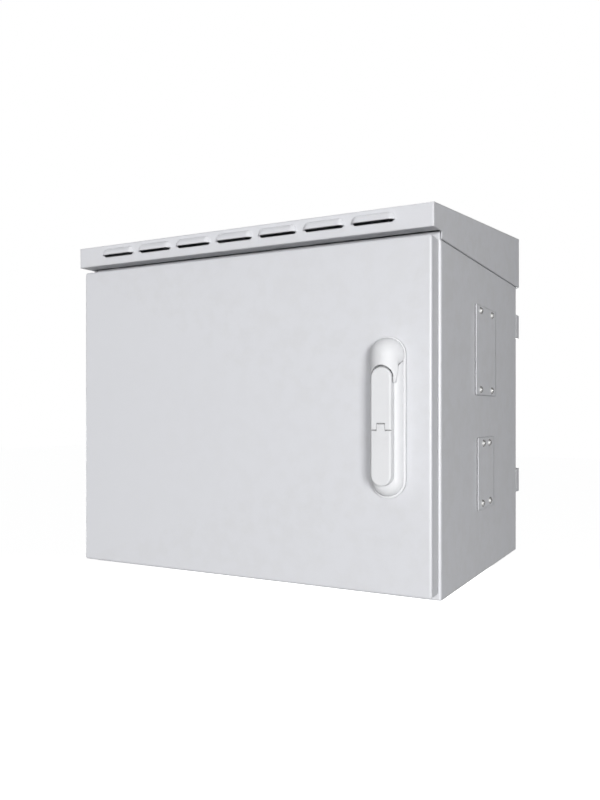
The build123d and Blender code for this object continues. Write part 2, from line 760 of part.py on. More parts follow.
def hinge_arm(level):
    """Arm on the body's front flange that holds the hinge pin inside the door's edge."""
    z = HINGE_ZS[level]
    span = (z - HINGE_ARM_H / 2, z + HINGE_ARM_H / 2)
    left = HINGE_X - HINGE_ARM_T / 2
    arm = block((left, HINGE_X + HINGE_ARM_T / 2), (HINGE_Y, FRONT), span)
    arm += block((left, left + HINGE_FOOT_W), (FRONT - HINGE_ARM_T, FRONT), span)
    arm += pillar_z(HINGE_BARREL_R, HINGE_X, HINGE_Y, span)
    arm -= pillar_z(HINGE_PIN_R + PIN_CLEARANCE, HINGE_X, HINGE_Y, (span[0] - 1, span[1] + 1))
    cut = (FRONT - 2 * HINGE_ARM_T, FRONT + 1)
    return arm - [pillar_y(HINGE_SCREW_R, x, screw_z, cut) for x, screw_z in hinge_screw_places()]


def hinge_arm_screws():
    seat = FRONT - HINGE_ARM_T
    screw = HINGE_SCREW_R
    return [
        pillar_y(screw + HINGE_SCREW_HEAD[0], x, z, (seat - HINGE_SCREW_HEAD[1], seat))
        + pillar_y(screw, x, z, (seat, FRONT + 2 * HINGE_ARM_T))
        for x, z in hinge_screw_places()
    ]


def hinge_bracket(level):
    """Plate on the door's inner face with an ear above and below the arm."""
    z = HINGE_ZS[level]
    ear_from = HINGE_ARM_H / 2 + HINGE_PLAY
    ear_to = ear_from + HINGE_EAR_T
    reach = ear_to + HINGE_PLATE_MARGIN
    plate_y = (DOOR_SKIN, DOOR_SKIN + HINGE_PLATE_T)
    plate_x = (HINGE_X - HINGE_BARREL_R, HINGE_X + HINGE_BARREL_R + HINGE_PLATE_MARGIN)
    bracket = block(plate_x, plate_y, (z - reach, z + reach))
    for side in (-1, 1):
        span = tuple(sorted((z + side * ear_from, z + side * ear_to)))
        bracket += block((HINGE_X - HINGE_BARREL_R, HINGE_X + HINGE_BARREL_R), (DOOR_SKIN, HINGE_Y), span)
        bracket += pillar_z(HINGE_BARREL_R, HINGE_X, HINGE_Y, span)
        bracket -= pillar_z(HINGE_PIN_R, HINGE_X, HINGE_Y, (span[0] - 1, span[1] + 1))
    return bracket


def hinge_pin(level):
    z = HINGE_ZS[level]
    reach = HINGE_ARM_H / 2 + HINGE_PLAY + HINGE_EAR_T
    pin = pillar_z(HINGE_PIN_R, HINGE_X, HINGE_Y, (z - reach, z + reach))
    head = (z + reach, z + reach + HINGE_PIN_HEAD[1])
    return pin + pillar_z(HINGE_PIN_R + HINGE_PIN_HEAD[0], HINGE_X, HINGE_Y, head)


def depth_rail(side, z):
    """Hat channel on a side wall, with a row of slots for the rack rails."""
    y = (-DEPTH_RAIL_L / 2, DEPTH_RAIL_L / 2)
    wall = HALF_W - SHEET
    half = DEPTH_RAIL_H / 2
    inner = DEPTH_RAIL_X - DEPTH_RAIL_T
    rail = block(mirror_x(side, inner, wall), y, (z - half, z + half))
    open_side = mirror_x(side, DEPTH_RAIL_X, wall + 1)
    rail -= block(open_side, (y[0] - 1, y[1] + 1), (z - half + DEPTH_RAIL_T, z + half - DEPTH_RAIL_T))
    for level in (-1, 1):
        lip = tuple(sorted((z + level * (half - DEPTH_RAIL_T), z + level * (half + DEPTH_RAIL_LIP))))
        rail += block(mirror_x(side, wall - DEPTH_RAIL_T, wall), y, lip)
    count = int((DEPTH_RAIL_L - DEPTH_SLOT_PITCH) / DEPTH_SLOT_PITCH)
    first = depth_bolt_y()
    slot = SlotOverall(*DEPTH_SLOT)
    cut = mirror_x(side, inner - 1, DEPTH_RAIL_X + 1)
    return rail - [along_x(Pos(first + i * DEPTH_SLOT_PITCH, z) * slot, cut) for i in range(count)]


def depth_bolt_y():
    return RACK_RAIL_Y + RACK_RAIL_SIDE / 2


def rack_rail(side):
    """19-inch mounting angle with square holes in groups of three."""
    z = (DEPTH_RAIL_Z[0] - RACK_RAIL_MARGIN, DEPTH_RAIL_Z[1] + RACK_RAIL_MARGIN)
    outer = DEPTH_RAIL_X - DEPTH_RAIL_T
    face = (RACK_RAIL_Y, RACK_RAIL_Y + RACK_RAIL_T)
    rail = block(mirror_x(side, RACK_OPENING, outer), face, z)
    rail += block(mirror_x(side, outer - RACK_RAIL_T, outer), (face[0], face[0] + RACK_RAIL_SIDE), z)
    cuts = []
    for unit in range(RACK_UNITS):
        for step in RACK_HOLE_STEPS:
            height = RACK_Z - RACK_HALF_H + unit * RACK_UNIT + step
            hole = Pos(side * RACK_HOLE_X, height) * Rectangle(RACK_HOLE, RACK_HOLE)
            cuts.append(along_y(hole, (face[0] - 1, face[1] + 1)))
    for height in DEPTH_RAIL_Z:
        cut = mirror_x(side, outer - 2 * RACK_RAIL_T, outer + 1)
        cuts.append(pillar_x(RACK_BOLT_R, depth_bolt_y(), height, cut))
    return rail - cuts


def rack_bolts():
    """Bolt and nut through each rack rail and its depth rail."""
    inner = DEPTH_RAIL_X - DEPTH_RAIL_T - RACK_RAIL_T
    across, height = RACK_BOLT_HEAD
    bolts = []
    for side in SIDES.values():
        for z in DEPTH_RAIL_Z:
            head = Pos(depth_bolt_y(), z) * hexagon(across)
            end = DEPTH_RAIL_X + 2 * height
            bolt = pillar_x(RACK_BOLT_R, depth_bolt_y(), z, mirror_x(side, inner, end))
            bolt += along_x(head, mirror_x(side, inner - height, inner))
            bolt += along_x(head, mirror_x(side, DEPTH_RAIL_X, DEPTH_RAIL_X + height))
            bolts.append(bolt)
    return bolts


def vent_filter():
    top = BODY_H - SHEET
    return block(
        (-FILTER_HALF[0], FILTER_HALF[0]),
        (VENT_Y - FILTER_HALF[1], VENT_Y + FILTER_HALF[1]),
        (top - FILTER_T, top),
    )


def filter_frame():
    """Tray under the filter mat, with a rim against the body's top."""
    top = BODY_H - SHEET
    inside = (FILTER_HALF[0] + SOFT_GAP, FILTER_HALF[1] + SOFT_GAP)
    rim = (FILTER_HALF[0] + FRAME_RIM, FILTER_HALF[1] + FRAME_RIM)
    floor = top - FILTER_T - FRAME_T
    frame = block((-rim[0], rim[0]), (VENT_Y - rim[1], VENT_Y + rim[1]), (top - FRAME_T, top))
    frame += block(
        (-inside[0] - FRAME_T, inside[0] + FRAME_T),
        (VENT_Y - inside[1] - FRAME_T, VENT_Y + inside[1] + FRAME_T),
        (floor, top),
    )
    frame -= block(
        (-inside[0], inside[0]), (VENT_Y - inside[1], VENT_Y + inside[1]), (floor + FRAME_T, top + 1)
    )
    slit = (floor - 1, floor + 2 * FRAME_T)
    cuts = [along_z(Pos(*place) * Rectangle(*VENT_SLOT), slit) for place in vent_places()]
    cuts += [pillar_z(CASE_STUD_R, x, y, (top - 2 * FRAME_T, top + 1)) for x, y in frame_screw_places()]
    return frame - cuts


def filter_screws():
    seat = BODY_H - SHEET - FRAME_T
    head, tip = FILTER_SCREW
    return [
        pillar_z(2 * CASE_STUD_R, x, y, (seat - head, seat))
        + pillar_z(CASE_STUD_R, x, y, (seat, BODY_H + tip))
        for x, y in frame_screw_places()
    ]


def earth_stud():
    """Earthing stud with a washer and two nuts."""
    nut = Pos(EARTH_X, EARTH_Y) * hexagon(EARTH_NUT[0])
    stud = pillar_z(EARTH_R, EARTH_X, EARTH_Y, (SHEET, SHEET + EARTH_H))
    stud += pillar_z(2 * EARTH_R, EARTH_X, EARTH_Y, (SHEET, SHEET + EARTH_WASHER_T))
    for low in (SHEET + EARTH_WASHER_T, SHEET + EARTH_NUT_RISE):
        stud += along_z(nut, (low, low + EARTH_NUT[1]))
    return stud


def door_panel():
    """Folded door pan with return lips, notched where the hinge arms pass."""
    pan = along_y(
        Pos(0, DOOR_MID_Z) * RectangleRounded(2 * DOOR_HALF, DOOR_HEIGHT, DOOR_CORNER_R),
        (DOOR_FRONT, DOOR_BACK),
    )
    pan = fillet(pan.edges().group_by(Axis.Y)[0], DOOR_EDGE_R)
    inner = RectangleRounded(2 * (DOOR_HALF - SHEET), DOOR_HEIGHT - 2 * SHEET, DOOR_CORNER_R - SHEET)
    pan -= along_y(Pos(0, DOOR_MID_Z) * inner, (DOOR_SKIN, DOOR_BACK - SHEET))
    lip = 2 * (SHEET + DOOR_LIP)
    mouth = Rectangle(2 * DOOR_HALF - lip, DOOR_HEIGHT - lip)
    pan -= along_y(Pos(0, DOOR_MID_Z) * mouth, (DOOR_BACK - 2 * SHEET, DOOR_BACK + 1))
    for z in HINGE_ZS.values():
        pan -= block(
            (-DOOR_HALF - 1, -DOOR_HALF + SHEET + DOOR_LIP + 1),
            (HINGE_Y - NOTCH_REACH, DOOR_BACK + 1),
            (z - NOTCH_HALF, z + NOTCH_HALF),
        )
    skin = (DOOR_FRONT - 1, DOOR_SKIN + 1)
    pan -= pillar_y(SPINDLE_R + 2 * SHEET, HANDLE_X, HUB_Z, skin)
    pan -= cylinder_hole(skin)
    pan -= [pillar_y(HANDLE_SCREW_R, HANDLE_X, z, skin) for z in HANDLE_SCREW_Z]
    for x, z in case_stud_places():
        pan += pillar_y(CASE_STUD_R, x, z, (DOOR_SKIN, DOOR_SKIN + CASE_STUD_L))
    return pan


def case_stud_places():
    return [
        (HANDLE_X + side * CASE_STUD[0], HUB_Z + level * CASE_STUD[1])
        for side in (-1, 1)
        for level in (-1, 1)
    ]


def cylinder_outline(grown):
    """Half-profile outline: a round with a stem below it."""
    foot = CYLINDER_Z + CYLINDER_R - CYLINDER_H + CYLINDER_STEM / 2
    round_part = Pos(HANDLE_X, CYLINDER_Z) * Circle(CYLINDER_R + grown)
    stem = Pos(HANDLE_X, (CYLINDER_Z + foot) / 2) * Rectangle(CYLINDER_STEM + 2 * grown, CYLINDER_Z - foot)
    return round_part + stem + Pos(HANDLE_X, foot) * Circle(CYLINDER_STEM / 2 + grown)


def cylinder_hole(y):
    return along_y(cylinder_outline(CYLINDER_PLAY), y)


def door_gasket():
    """Foam seal in one frame that closes on the body's rim."""
    middle_x = OPEN_X - SHEET / 2
    low = OPEN_LOW + SHEET / 2
    high = OPEN_HIGH - SHEET / 2
    half = GASKET_W / 2
    span = (DOOR_SKIN, RIM_Y - SOFT_GAP)
    seal = block((-middle_x - half, middle_x + half), span, (low - half, high + half))
    return seal - block(
        (-middle_x + half, middle_x - half), (span[0] - 1, span[1] + 1), (low + half, high - half)
    )


def door_stiffener(x):
    """Hat rail on the door's inner face with a row of holes."""
    half = STIFFENER_W / 2
    crown = half - STIFFENER_FLANGE
    reach = OPEN_LOW + GASKET_W / 2 + STIFFENER_GAP
    z = (reach, BODY_H - reach)
    y = (DOOR_SKIN, DOOR_SKIN + STIFFENER_RISE)
    rail = block((x - crown, x + crown), y, z)
    rail += block((x - half, x + half), (y[0], y[0] + SHEET), z)
    rail -= block((x - crown + SHEET, x + crown - SHEET), (y[0] - 1, y[1] - SHEET), (z[0] - 1, z[1] + 1))
    count = int((z[1] - z[0]) / STIFFENER_HOLE_PITCH)
    first = (z[0] + z[1] - (count - 1) * STIFFENER_HOLE_PITCH) / 2
    cut = (y[1] - 2 * SHEET, y[1] + 1)
    return rail - [
        pillar_y(STIFFENER_HOLE_R, x, first + i * STIFFENER_HOLE_PITCH, cut) for i in range(count)
    ]


def handle_base():
    """Flange and rounded pad, with a round pocket for the cowl."""
    base = along_y(stadium(BASE_R, BASE_BOTTOM, HUB_Z + BASE_R), (BASE_FRONT, GASKET_FRONT))
    inset = BASE_R - PAD_R
    pad = along_y(stadium(PAD_R, BASE_BOTTOM + inset, HUB_Z + PAD_R), (PAD_FRONT, BASE_FRONT))
    pad = fillet(pad.edges().group_by(Axis.Y)[0], PAD_H - BASE_FLANGE_T - PAD_FOOT_H)
    pad -= pillar_y(COWL_R + COWL_SIDE_PLAY, HANDLE_X, HUB_Z, (PAD_FRONT - 1, BASE_FRONT))
    base += pad
    base -= pillar_y(SPINDLE_R + RUNNING, HANDLE_X, HUB_Z, (BASE_FRONT - 1, GASKET_FRONT + 1))
    base -= cylinder_hole((PAD_FRONT - 1, GASKET_FRONT + 1))
    screw = (GASKET_FRONT - HANDLE_SCREW_L - 1, GASKET_FRONT + 1)
    return base - [pillar_y(HANDLE_SCREW_R, HANDLE_X, z, screw) for z in HANDLE_SCREW_Z]


def handle_gasket():
    inset = BASE_R - HANDLE_GASKET_T
    seal = stadium(inset, BASE_BOTTOM + HANDLE_GASKET_T, HUB_Z + inset)
    seal -= Pos(HANDLE_X, HUB_Z) * Circle(SPINDLE_R + 2 * SHEET)
    seal -= cylinder_outline(CYLINDER_PLAY)
    for z in HANDLE_SCREW_Z:
        seal -= Pos(HANDLE_X, z) * Circle(HANDLE_SCREW_R)
    return along_y(seal, (GASKET_FRONT, DOOR_FRONT))


def handle_screws():
    """Screws with washers, from inside the door into the handle base."""
    washer = DOOR_SKIN + HANDLE_WASHER_T
    return [
        pillar_y(HANDLE_SCREW_R, HANDLE_X, z, (GASKET_FRONT - HANDLE_SCREW_L, DOOR_SKIN))
        + pillar_y(2 * HANDLE_SCREW_R, HANDLE_X, z, (DOOR_SKIN, washer))
        + along_y(Pos(HANDLE_X, z) * hexagon(HANDLE_SCREW_HEAD[0]), (washer, washer + HANDLE_SCREW_HEAD[1]))
        for z in HANDLE_SCREW_Z
    ]


def cowl_plan():
    """Front outline of the cowl: a round that narrows to the sides of the lever."""
    drop = COWL_TAIL_Z - HUB_Z
    reach = math.hypot(COWL_TAIL_HALF, drop)
    angle = math.atan2(drop, COWL_TAIL_HALF) + math.acos(COWL_R / reach)
    touch = (COWL_R * math.cos(angle), COWL_R * math.sin(angle))
    tail = outline([touch, (COWL_TAIL_HALF, drop), (-COWL_TAIL_HALF, drop), (-touch[0], touch[1])])
    return Pos(HANDLE_X, HUB_Z) * (Circle(COWL_R) + tail)


def handle_cowl():
    """Domed hub that turns with the lever and carries its cross pin."""
    arc = EllipticalCenterArc((0, 0), COWL_R, COWL_H, start_angle=180, arc_size=90)
    quarter = make_face(arc + Line((0, -COWL_H), (0, 0)) + Line((0, 0), (-COWL_R, 0)))
    dome = Pos(HANDLE_X, COWL_BACK, HUB_Z) * revolve(quarter, Axis.Y)
    half_plan = quarter + mirror(quarter, Plane.YZ)
    vault = Pos(HANDLE_X, COWL_BACK, COWL_TAIL_Z) * extrude(half_plan, HUB_Z - COWL_TAIL_Z)
    vault &= along_y(cowl_plan(), (COWL_FRONT - 1, PAD_FRONT - COWL_PLAY))
    cowl = dome + vault
    slot = stadium(LEVER_R + LEVER_GAP, LEVER_BOTTOM, LEVER_TOP + LEVER_TOP_GAP)
    cowl -= along_y(slot, (COWL_FRONT - 1, COWL_BACK - COWL_FLOOR))
    cowl -= pillar_y(SPINDLE_R, HANDLE_X, HUB_Z, (COWL_BACK - COWL_FLOOR + COWL_CROWN, COWL_BACK + 1))
    pin = (HANDLE_X - LEVER_PIN_HALF, HANDLE_X + LEVER_PIN_HALF)
    return cowl - pillar_x(LEVER_PIN_R, LEVER_PIN_Y, LEVER_PIN_Z, pin)


def lever_blank():
    """Long body of the lever with its front edge rounded."""
    blank = along_y(stadium(LEVER_R, LEVER_BOTTOM, LEVER_TOP), (LEVER_FRONT, LEVER_BACK))
    return fillet(blank.edges().group_by(Axis.Y)[0], LEVER_EDGE_R)


def handle_lever():
    """Lever with a seat for the sliding cover and a window for the key."""
    lever = lever_blank()
    tip = LEVER_FRONT + LEVER_TIP_T
    wedge = outline([
        (LEVER_BACK, LEVER_PIN_Z + LEVER_WEDGE_RISE),
        (tip, LEVER_TOP),
        (tip, LEVER_TOP + 1),
        (LEVER_BACK + 1, LEVER_TOP + 1),
        (LEVER_BACK + 1, LEVER_PIN_Z + LEVER_WEDGE_RISE),
    ])
    across = (HANDLE_X - LEVER_R - 1, HANDLE_X + LEVER_R + 1)
    lever -= along_x(wedge, across)
    split = COVER_SPLIT_Z + COVER_SPLIT_GAP / 2
    lever -= block(across, (LEVER_FRONT - 1, COVER_SEAT), (LEVER_BOTTOM - 1, split))
    notch = TONGUE_HALF + COVER_SIDE_GAP
    lever -= block(
        (HANDLE_X - notch, HANDLE_X + notch), (LEVER_FRONT - 1, COVER_SEAT), (split - 1, split + TONGUE_H)
    )
    window = RectangleRounded(WINDOW_W, WINDOW_Z[1] - WINDOW_Z[0], LEVER_CORNER_R)
    lever -= along_y(Pos(HANDLE_X, sum(WINDOW_Z) / 2) * window, (COVER_SEAT - 1, LEVER_BACK + 1))
    for side in (-1, 1):
        low = GUIDE_Z[0] - COVER_TRAVEL - 1
        lever -= cover_guide(side, COVER_SEAT - 0.01, COVER_PLAY, (low, GUIDE_Z[1] + 1))
    pocket = RectangleRounded(POCKET[0], POCKET[1], LEVER_CORNER_R)
    lever -= along_y(Pos(HANDLE_X, HUB_Z - POCKET_DROP) * pocket, (LEVER_BACK - POCKET[2], LEVER_BACK + 1))
    return lever - pillar_x(LEVER_PIN_R + PIN_CLEARANCE, LEVER_PIN_Y, LEVER_PIN_Z, across)


def cover_guide(side, y, play, z):
    """Dovetail strip at one side of the lever, wider at its foot."""
    x = HANDLE_X + side * GUIDE_X
    neck = GUIDE_NECK / 2 + play
    foot = GUIDE_FOOT / 2 + play
    strip = outline([(x - neck, y), (x + neck, y), (x + foot, y + GUIDE_DEPTH), (x - foot, y + GUIDE_DEPTH)])
    return along_z(strip, z)


def cylinder_cover():
    """Sliding lower half of the lever's front, with its tongue and dovetails."""
    seat = LEVER_FRONT + COVER_LID_T
    top = COVER_SPLIT_Z - COVER_SPLIT_GAP / 2
    across = (HANDLE_X - LEVER_R, HANDLE_X + LEVER_R)
    shape = block(across, (LEVER_FRONT, seat), (LEVER_BOTTOM, top))
    shape += block(
        (HANDLE_X - TONGUE_HALF, HANDLE_X + TONGUE_HALF), (LEVER_FRONT, seat), (top - 1, top + TONGUE_H)
    )
    cover = lever_blank() & shape
    for side in (-1, 1):
        cover += cover_guide(side, seat - 0.01, 0, GUIDE_Z)
    return cover


def lever_pin():
    return pillar_x(
        LEVER_PIN_R, LEVER_PIN_Y, LEVER_PIN_Z, (HANDLE_X - LEVER_PIN_HALF, HANDLE_X + LEVER_PIN_HALF)
    )


def lock_cylinder():
    """Half-profile cylinder, flush with the pad and through the door."""
    y = (PAD_FRONT + CYLINDER_SINK, PAD_FRONT + CYLINDER_SINK + CYLINDER_L)
    body = along_y(cylinder_outline(0), y)
    return body - pillar_y(PLUG_R + PIN_CLEARANCE, HANDLE_X, CYLINDER_Z, (y[0] - 1, y[1] + 1))


def cylinder_plug():
    """Turning core with its keyway and tail."""
    front = PAD_FRONT + CYLINDER_SINK
    back = front + CYLINDER_L
    plug = pillar_y(PLUG_R, HANDLE_X, CYLINDER_Z, (front, back))
    key = Pos(HANDLE_X, CYLINDER_Z - PLUG_R + KEYWAY[1] / 2) * Rectangle(KEYWAY[0], KEYWAY[1])
    plug -= along_y(key, (front - 1, front + KEYWAY[2]))
    return plug + pillar_y(TAIL_R, HANDLE_X, CYLINDER_Z, (back, back + CAM_T + CAM_END))


def lock_cam():
    """Finger on the plug's tail, pointing down."""
    low = PAD_FRONT + CYLINDER_SINK + CYLINDER_L + COVER_PLAY
    plan = Pos(HANDLE_X, CYLINDER_Z) * Circle(TAIL_R + CAM_WALL)
    plan += Pos(HANDLE_X, CYLINDER_Z - CAM_L / 2) * Rectangle(CAM_W, CAM_L)
    plan += Pos(HANDLE_X, CYLINDER_Z - CAM_L) * Circle(CAM_W / 2)
    plan -= Pos(HANDLE_X, CYLINDER_Z) * Circle(TAIL_R)
    return along_y(plan, (low, low + CAM_T))


def spindle():
    """Shaft from the cowl through the door, square where it drives the pinion."""
    deep = COWL_BACK - COWL_FLOOR + COWL_CROWN
    step = CASE_Y[0] + CASE_WALL + SOFT_GAP
    shaft = pillar_y(SPINDLE_R, HANDLE_X, HUB_Z, (deep, step))
    square = Pos(HANDLE_X, HUB_Z) * Rectangle(SPINDLE_SQUARE, SPINDLE_SQUARE)
    end = CASE_Y[1] - END_PLAY
    shaft += along_y(square, (step, end))
    return shaft + pillar_y(SPINDLE_END_R, HANDLE_X, HUB_Z, (end, CASE_Y[1] + SPINDLE_END_L))


def tooth_half_angle(radius):
    """Half the angle of a pinion tooth at that radius, from the involute."""
    pressure = math.radians(GEAR_PRESSURE)
    base = PITCH_R * math.cos(pressure)
    at_radius = math.acos(min(1.0, base / radius))
    half_pitch = (RACK_PITCH / 2 - GEAR_BACKLASH) / 2 / PITCH_R
    return half_pitch + math.tan(pressure) - pressure - math.tan(at_radius) + at_radius


def pinion():
    """Spur pinion between the two racks."""
    root = PITCH_R - GEAR_DEDENDUM
    tip = PITCH_R + GEAR_ADDENDUM
    base = PITCH_R * math.cos(math.radians(GEAR_PRESSURE))
    radii = [base + (tip - base) * step / 3 for step in range(4)]
    points = []
    for tooth in range(GEAR_TEETH):
        centre = 2 * math.pi * tooth / GEAR_TEETH
        flank = [(root, -tooth_half_angle(base))]
        flank += [(radius, -tooth_half_angle(radius)) for radius in radii]
        flank += [(radius, -angle) for radius, angle in reversed(flank)]
        for radius, angle in flank:
            points.append((radius * math.cos(centre + angle), radius * math.sin(centre + angle)))
    middle = sum(ROD_Y) / 2
    gear = along_y(Pos(HANDLE_X, HUB_Z) * outline(points), (middle - PINION_T / 2, middle + PINION_T / 2))
    collar = (CASE_Y[0] + CASE_WALL + SOFT_GAP, CASE_Y[1] - END_PLAY)
    gear += pillar_y(PINION_COLLAR_R, HANDLE_X, HUB_Z, collar)
    hole = Pos(HANDLE_X, HUB_Z) * Rectangle(SPINDLE_SQUARE, SPINDLE_SQUARE)
    return gear - along_y(hole, (CASE_Y[0], CASE_Y[1] + 1))


def lock_rod(side, reach):
    """Flat rod with rack teeth towards the pinion. Side 1 is the upper rod, -1 the lower."""
    slope = math.tan(math.radians(GEAR_PRESSURE))
    half = (RACK_PITCH / 2 - GEAR_BACKLASH) / 2
    at_root = half + GEAR_DEDENDUM * slope
    at_tip = half - RACK_ADDENDUM * slope
    points = [
        (RACK_ROOT, -ROD_TAIL),
        (ROD_OUTER, -ROD_TAIL),
        (ROD_OUTER, reach - ROD_TIP),
        (ROD_OUTER - ROD_TIP, reach),
        (RACK_ROOT + ROD_TIP, reach),
        (RACK_ROOT, reach - ROD_TIP),
    ]
    for tooth in reversed(range(*RACK_TEETH)):
        centre = (tooth + 0.5) * RACK_PITCH
        points.append((RACK_ROOT, centre + at_root))
        points.append((PITCH_R - RACK_ADDENDUM, centre + at_tip))
        points.append((PITCH_R - RACK_ADDENDUM, centre - at_tip))
        points.append((RACK_ROOT, centre - at_root))
    plan = outline([(side * u, side * w) for u, w in points])
    return along_y(Pos(HANDLE_X, HUB_Z) * plan, ROD_Y)


def lock_case():
    """Cast case of the rod lock with its foot on the door and a neck round the spindle."""
    foot = Pos(HANDLE_X, HUB_Z) * RectangleRounded(*CASE_FOOT, CASE_CORNER_R)
    case = along_y(foot, (DOOR_SKIN, DOOR_SKIN + CASE_FOOT_T))
    case += pillar_y(CASE_NECK_R, HANDLE_X, HUB_Z, (DOOR_SKIN, CASE_Y[0] + CASE_WALL))
    outer = Pos(HANDLE_X, HUB_Z) * RectangleRounded(2 * CASE_HALF_W, 2 * CASE_HALF_H, CASE_CORNER_R)
    case += along_y(outer, CASE_Y)
    case += case_tabs(CASE_Y)
    hollow = Rectangle(2 * (CASE_HALF_W - CASE_WALL), 2 * (CASE_HALF_H - CASE_WALL))
    case -= along_y(Pos(HANDLE_X, HUB_Z) * hollow, (CASE_Y[0] + CASE_WALL, CASE_Y[1] + 1))
    case -= pillar_y(SPINDLE_R + RUNNING, HANDLE_X, HUB_Z, (DOOR_SKIN - 1, CASE_Y[0] + CASE_WALL + 1))
    for side in (-1, 1):
        case -= rod_window(side, mirror_x(side, CASE_HALF_H - 2 * CASE_WALL, CASE_HALF_H + CASE_WALL))
    foot_span = (DOOR_SKIN - 1, DOOR_SKIN + CASE_FOOT_T + 1)
    case -= [pillar_y(CASE_STUD_R, x, z, foot_span) for x, z in case_stud_places()]
    blind = (CASE_Y[0] + CASE_BLIND, CASE_Y[1] + 1)
    return case - [pillar_y(CASE_STUD_R, x, z, blind) for x, z in tab_places()]


def rod_window(side, z):
    """Space that a rod needs, with its play, over heights counted from the hub."""
    return block(
        tuple(HANDLE_X + u for u in mirror_x(side, RACK_ROOT - ROD_PLAY, ROD_OUTER + ROD_PLAY)),
        (ROD_Y[0] - ROD_PLAY, ROD_Y[1] + ROD_PLAY),
        tuple(HUB_Z + w for w in z),
    )


def tab_places():
    away = CASE_HALF_H + CASE_TAB[1] / 2
    return [(HANDLE_X - side * CASE_TAB[0] / 2, HUB_Z + side * away) for side in (-1, 1)]


def case_tabs(y):
    half = CASE_TAB[0] / 2
    tabs = []
    for side, (x, z) in zip((-1, 1), tab_places()):
        reach = tuple(sorted((z + side * CASE_TAB[1] / 2, z - side * CASE_TAB[1])))
        tabs.append(block((x - half, x + half), y, reach))
    return tabs


def lock_case_cover():
    y = (CASE_Y[1], CASE_Y[1] + CASE_WALL)
    outer = Pos(HANDLE_X, HUB_Z) * RectangleRounded(2 * CASE_HALF_W, 2 * CASE_HALF_H, CASE_CORNER_R)
    cover = along_y(outer, y) + case_tabs(y)
    cover -= pillar_y(SPINDLE_END_R + RUNNING, HANDLE_X, HUB_Z, (y[0] - 1, y[1] + 1))
    return cover - [pillar_y(CASE_STUD_R, x, z, (y[0] - 1, y[1] + 1)) for x, z in tab_places()]


def lock_case_fixings():
    """Nuts of the case's foot and screws of its cover."""
    low = DOOR_SKIN + CASE_FOOT_T
    nut = hexagon(CASE_NUT[0]) - Circle(CASE_STUD_R)
    nuts = [along_y(Pos(x, z) * nut, (low, low + CASE_NUT[1])) for x, z in case_stud_places()]
    seat = CASE_Y[1] + CASE_WALL
    head, shank = CASE_SCREW
    screws = [
        pillar_y(2 * CASE_STUD_R, x, z, (seat, seat + head))
        + pillar_y(CASE_STUD_R, x, z, (seat - shank, seat))
        for x, z in tab_places()
    ]
    return nuts + screws


def rod_guide(side, z):
    """Bracket on the door with a window for a rod."""
    half = ROD_GUIDE_T / 2
    outer = ROD_OUTER + ROD_GUIDE_RIM
    inner = RACK_ROOT - ROD_GUIDE_RIM
    end = ROD_Y[1] + ROD_GUIDE_RIM

    def span(near, far):
        return tuple(HANDLE_X + u for u in mirror_x(side, near, far))

    guide = block(span(inner, outer), (DOOR_SKIN, end), (z - half, z + half))
    foot = (DOOR_SKIN, DOOR_SKIN + ROD_GUIDE_FOOT_T)
    guide += block(span(inner, outer), foot, (z - 2 * half, z + 2 * half))
    guide -= rod_window(side, (z - HUB_Z - half - 1, z - HUB_Z + half + 1))
    window = (DOOR_SKIN + ROD_GUIDE_WINDOW[0], ROD_Y[0] - ROD_GUIDE_WINDOW[1])
    return guide - block(span(RACK_ROOT, ROD_OUTER), window, (z - half - 1, z + half + 1))


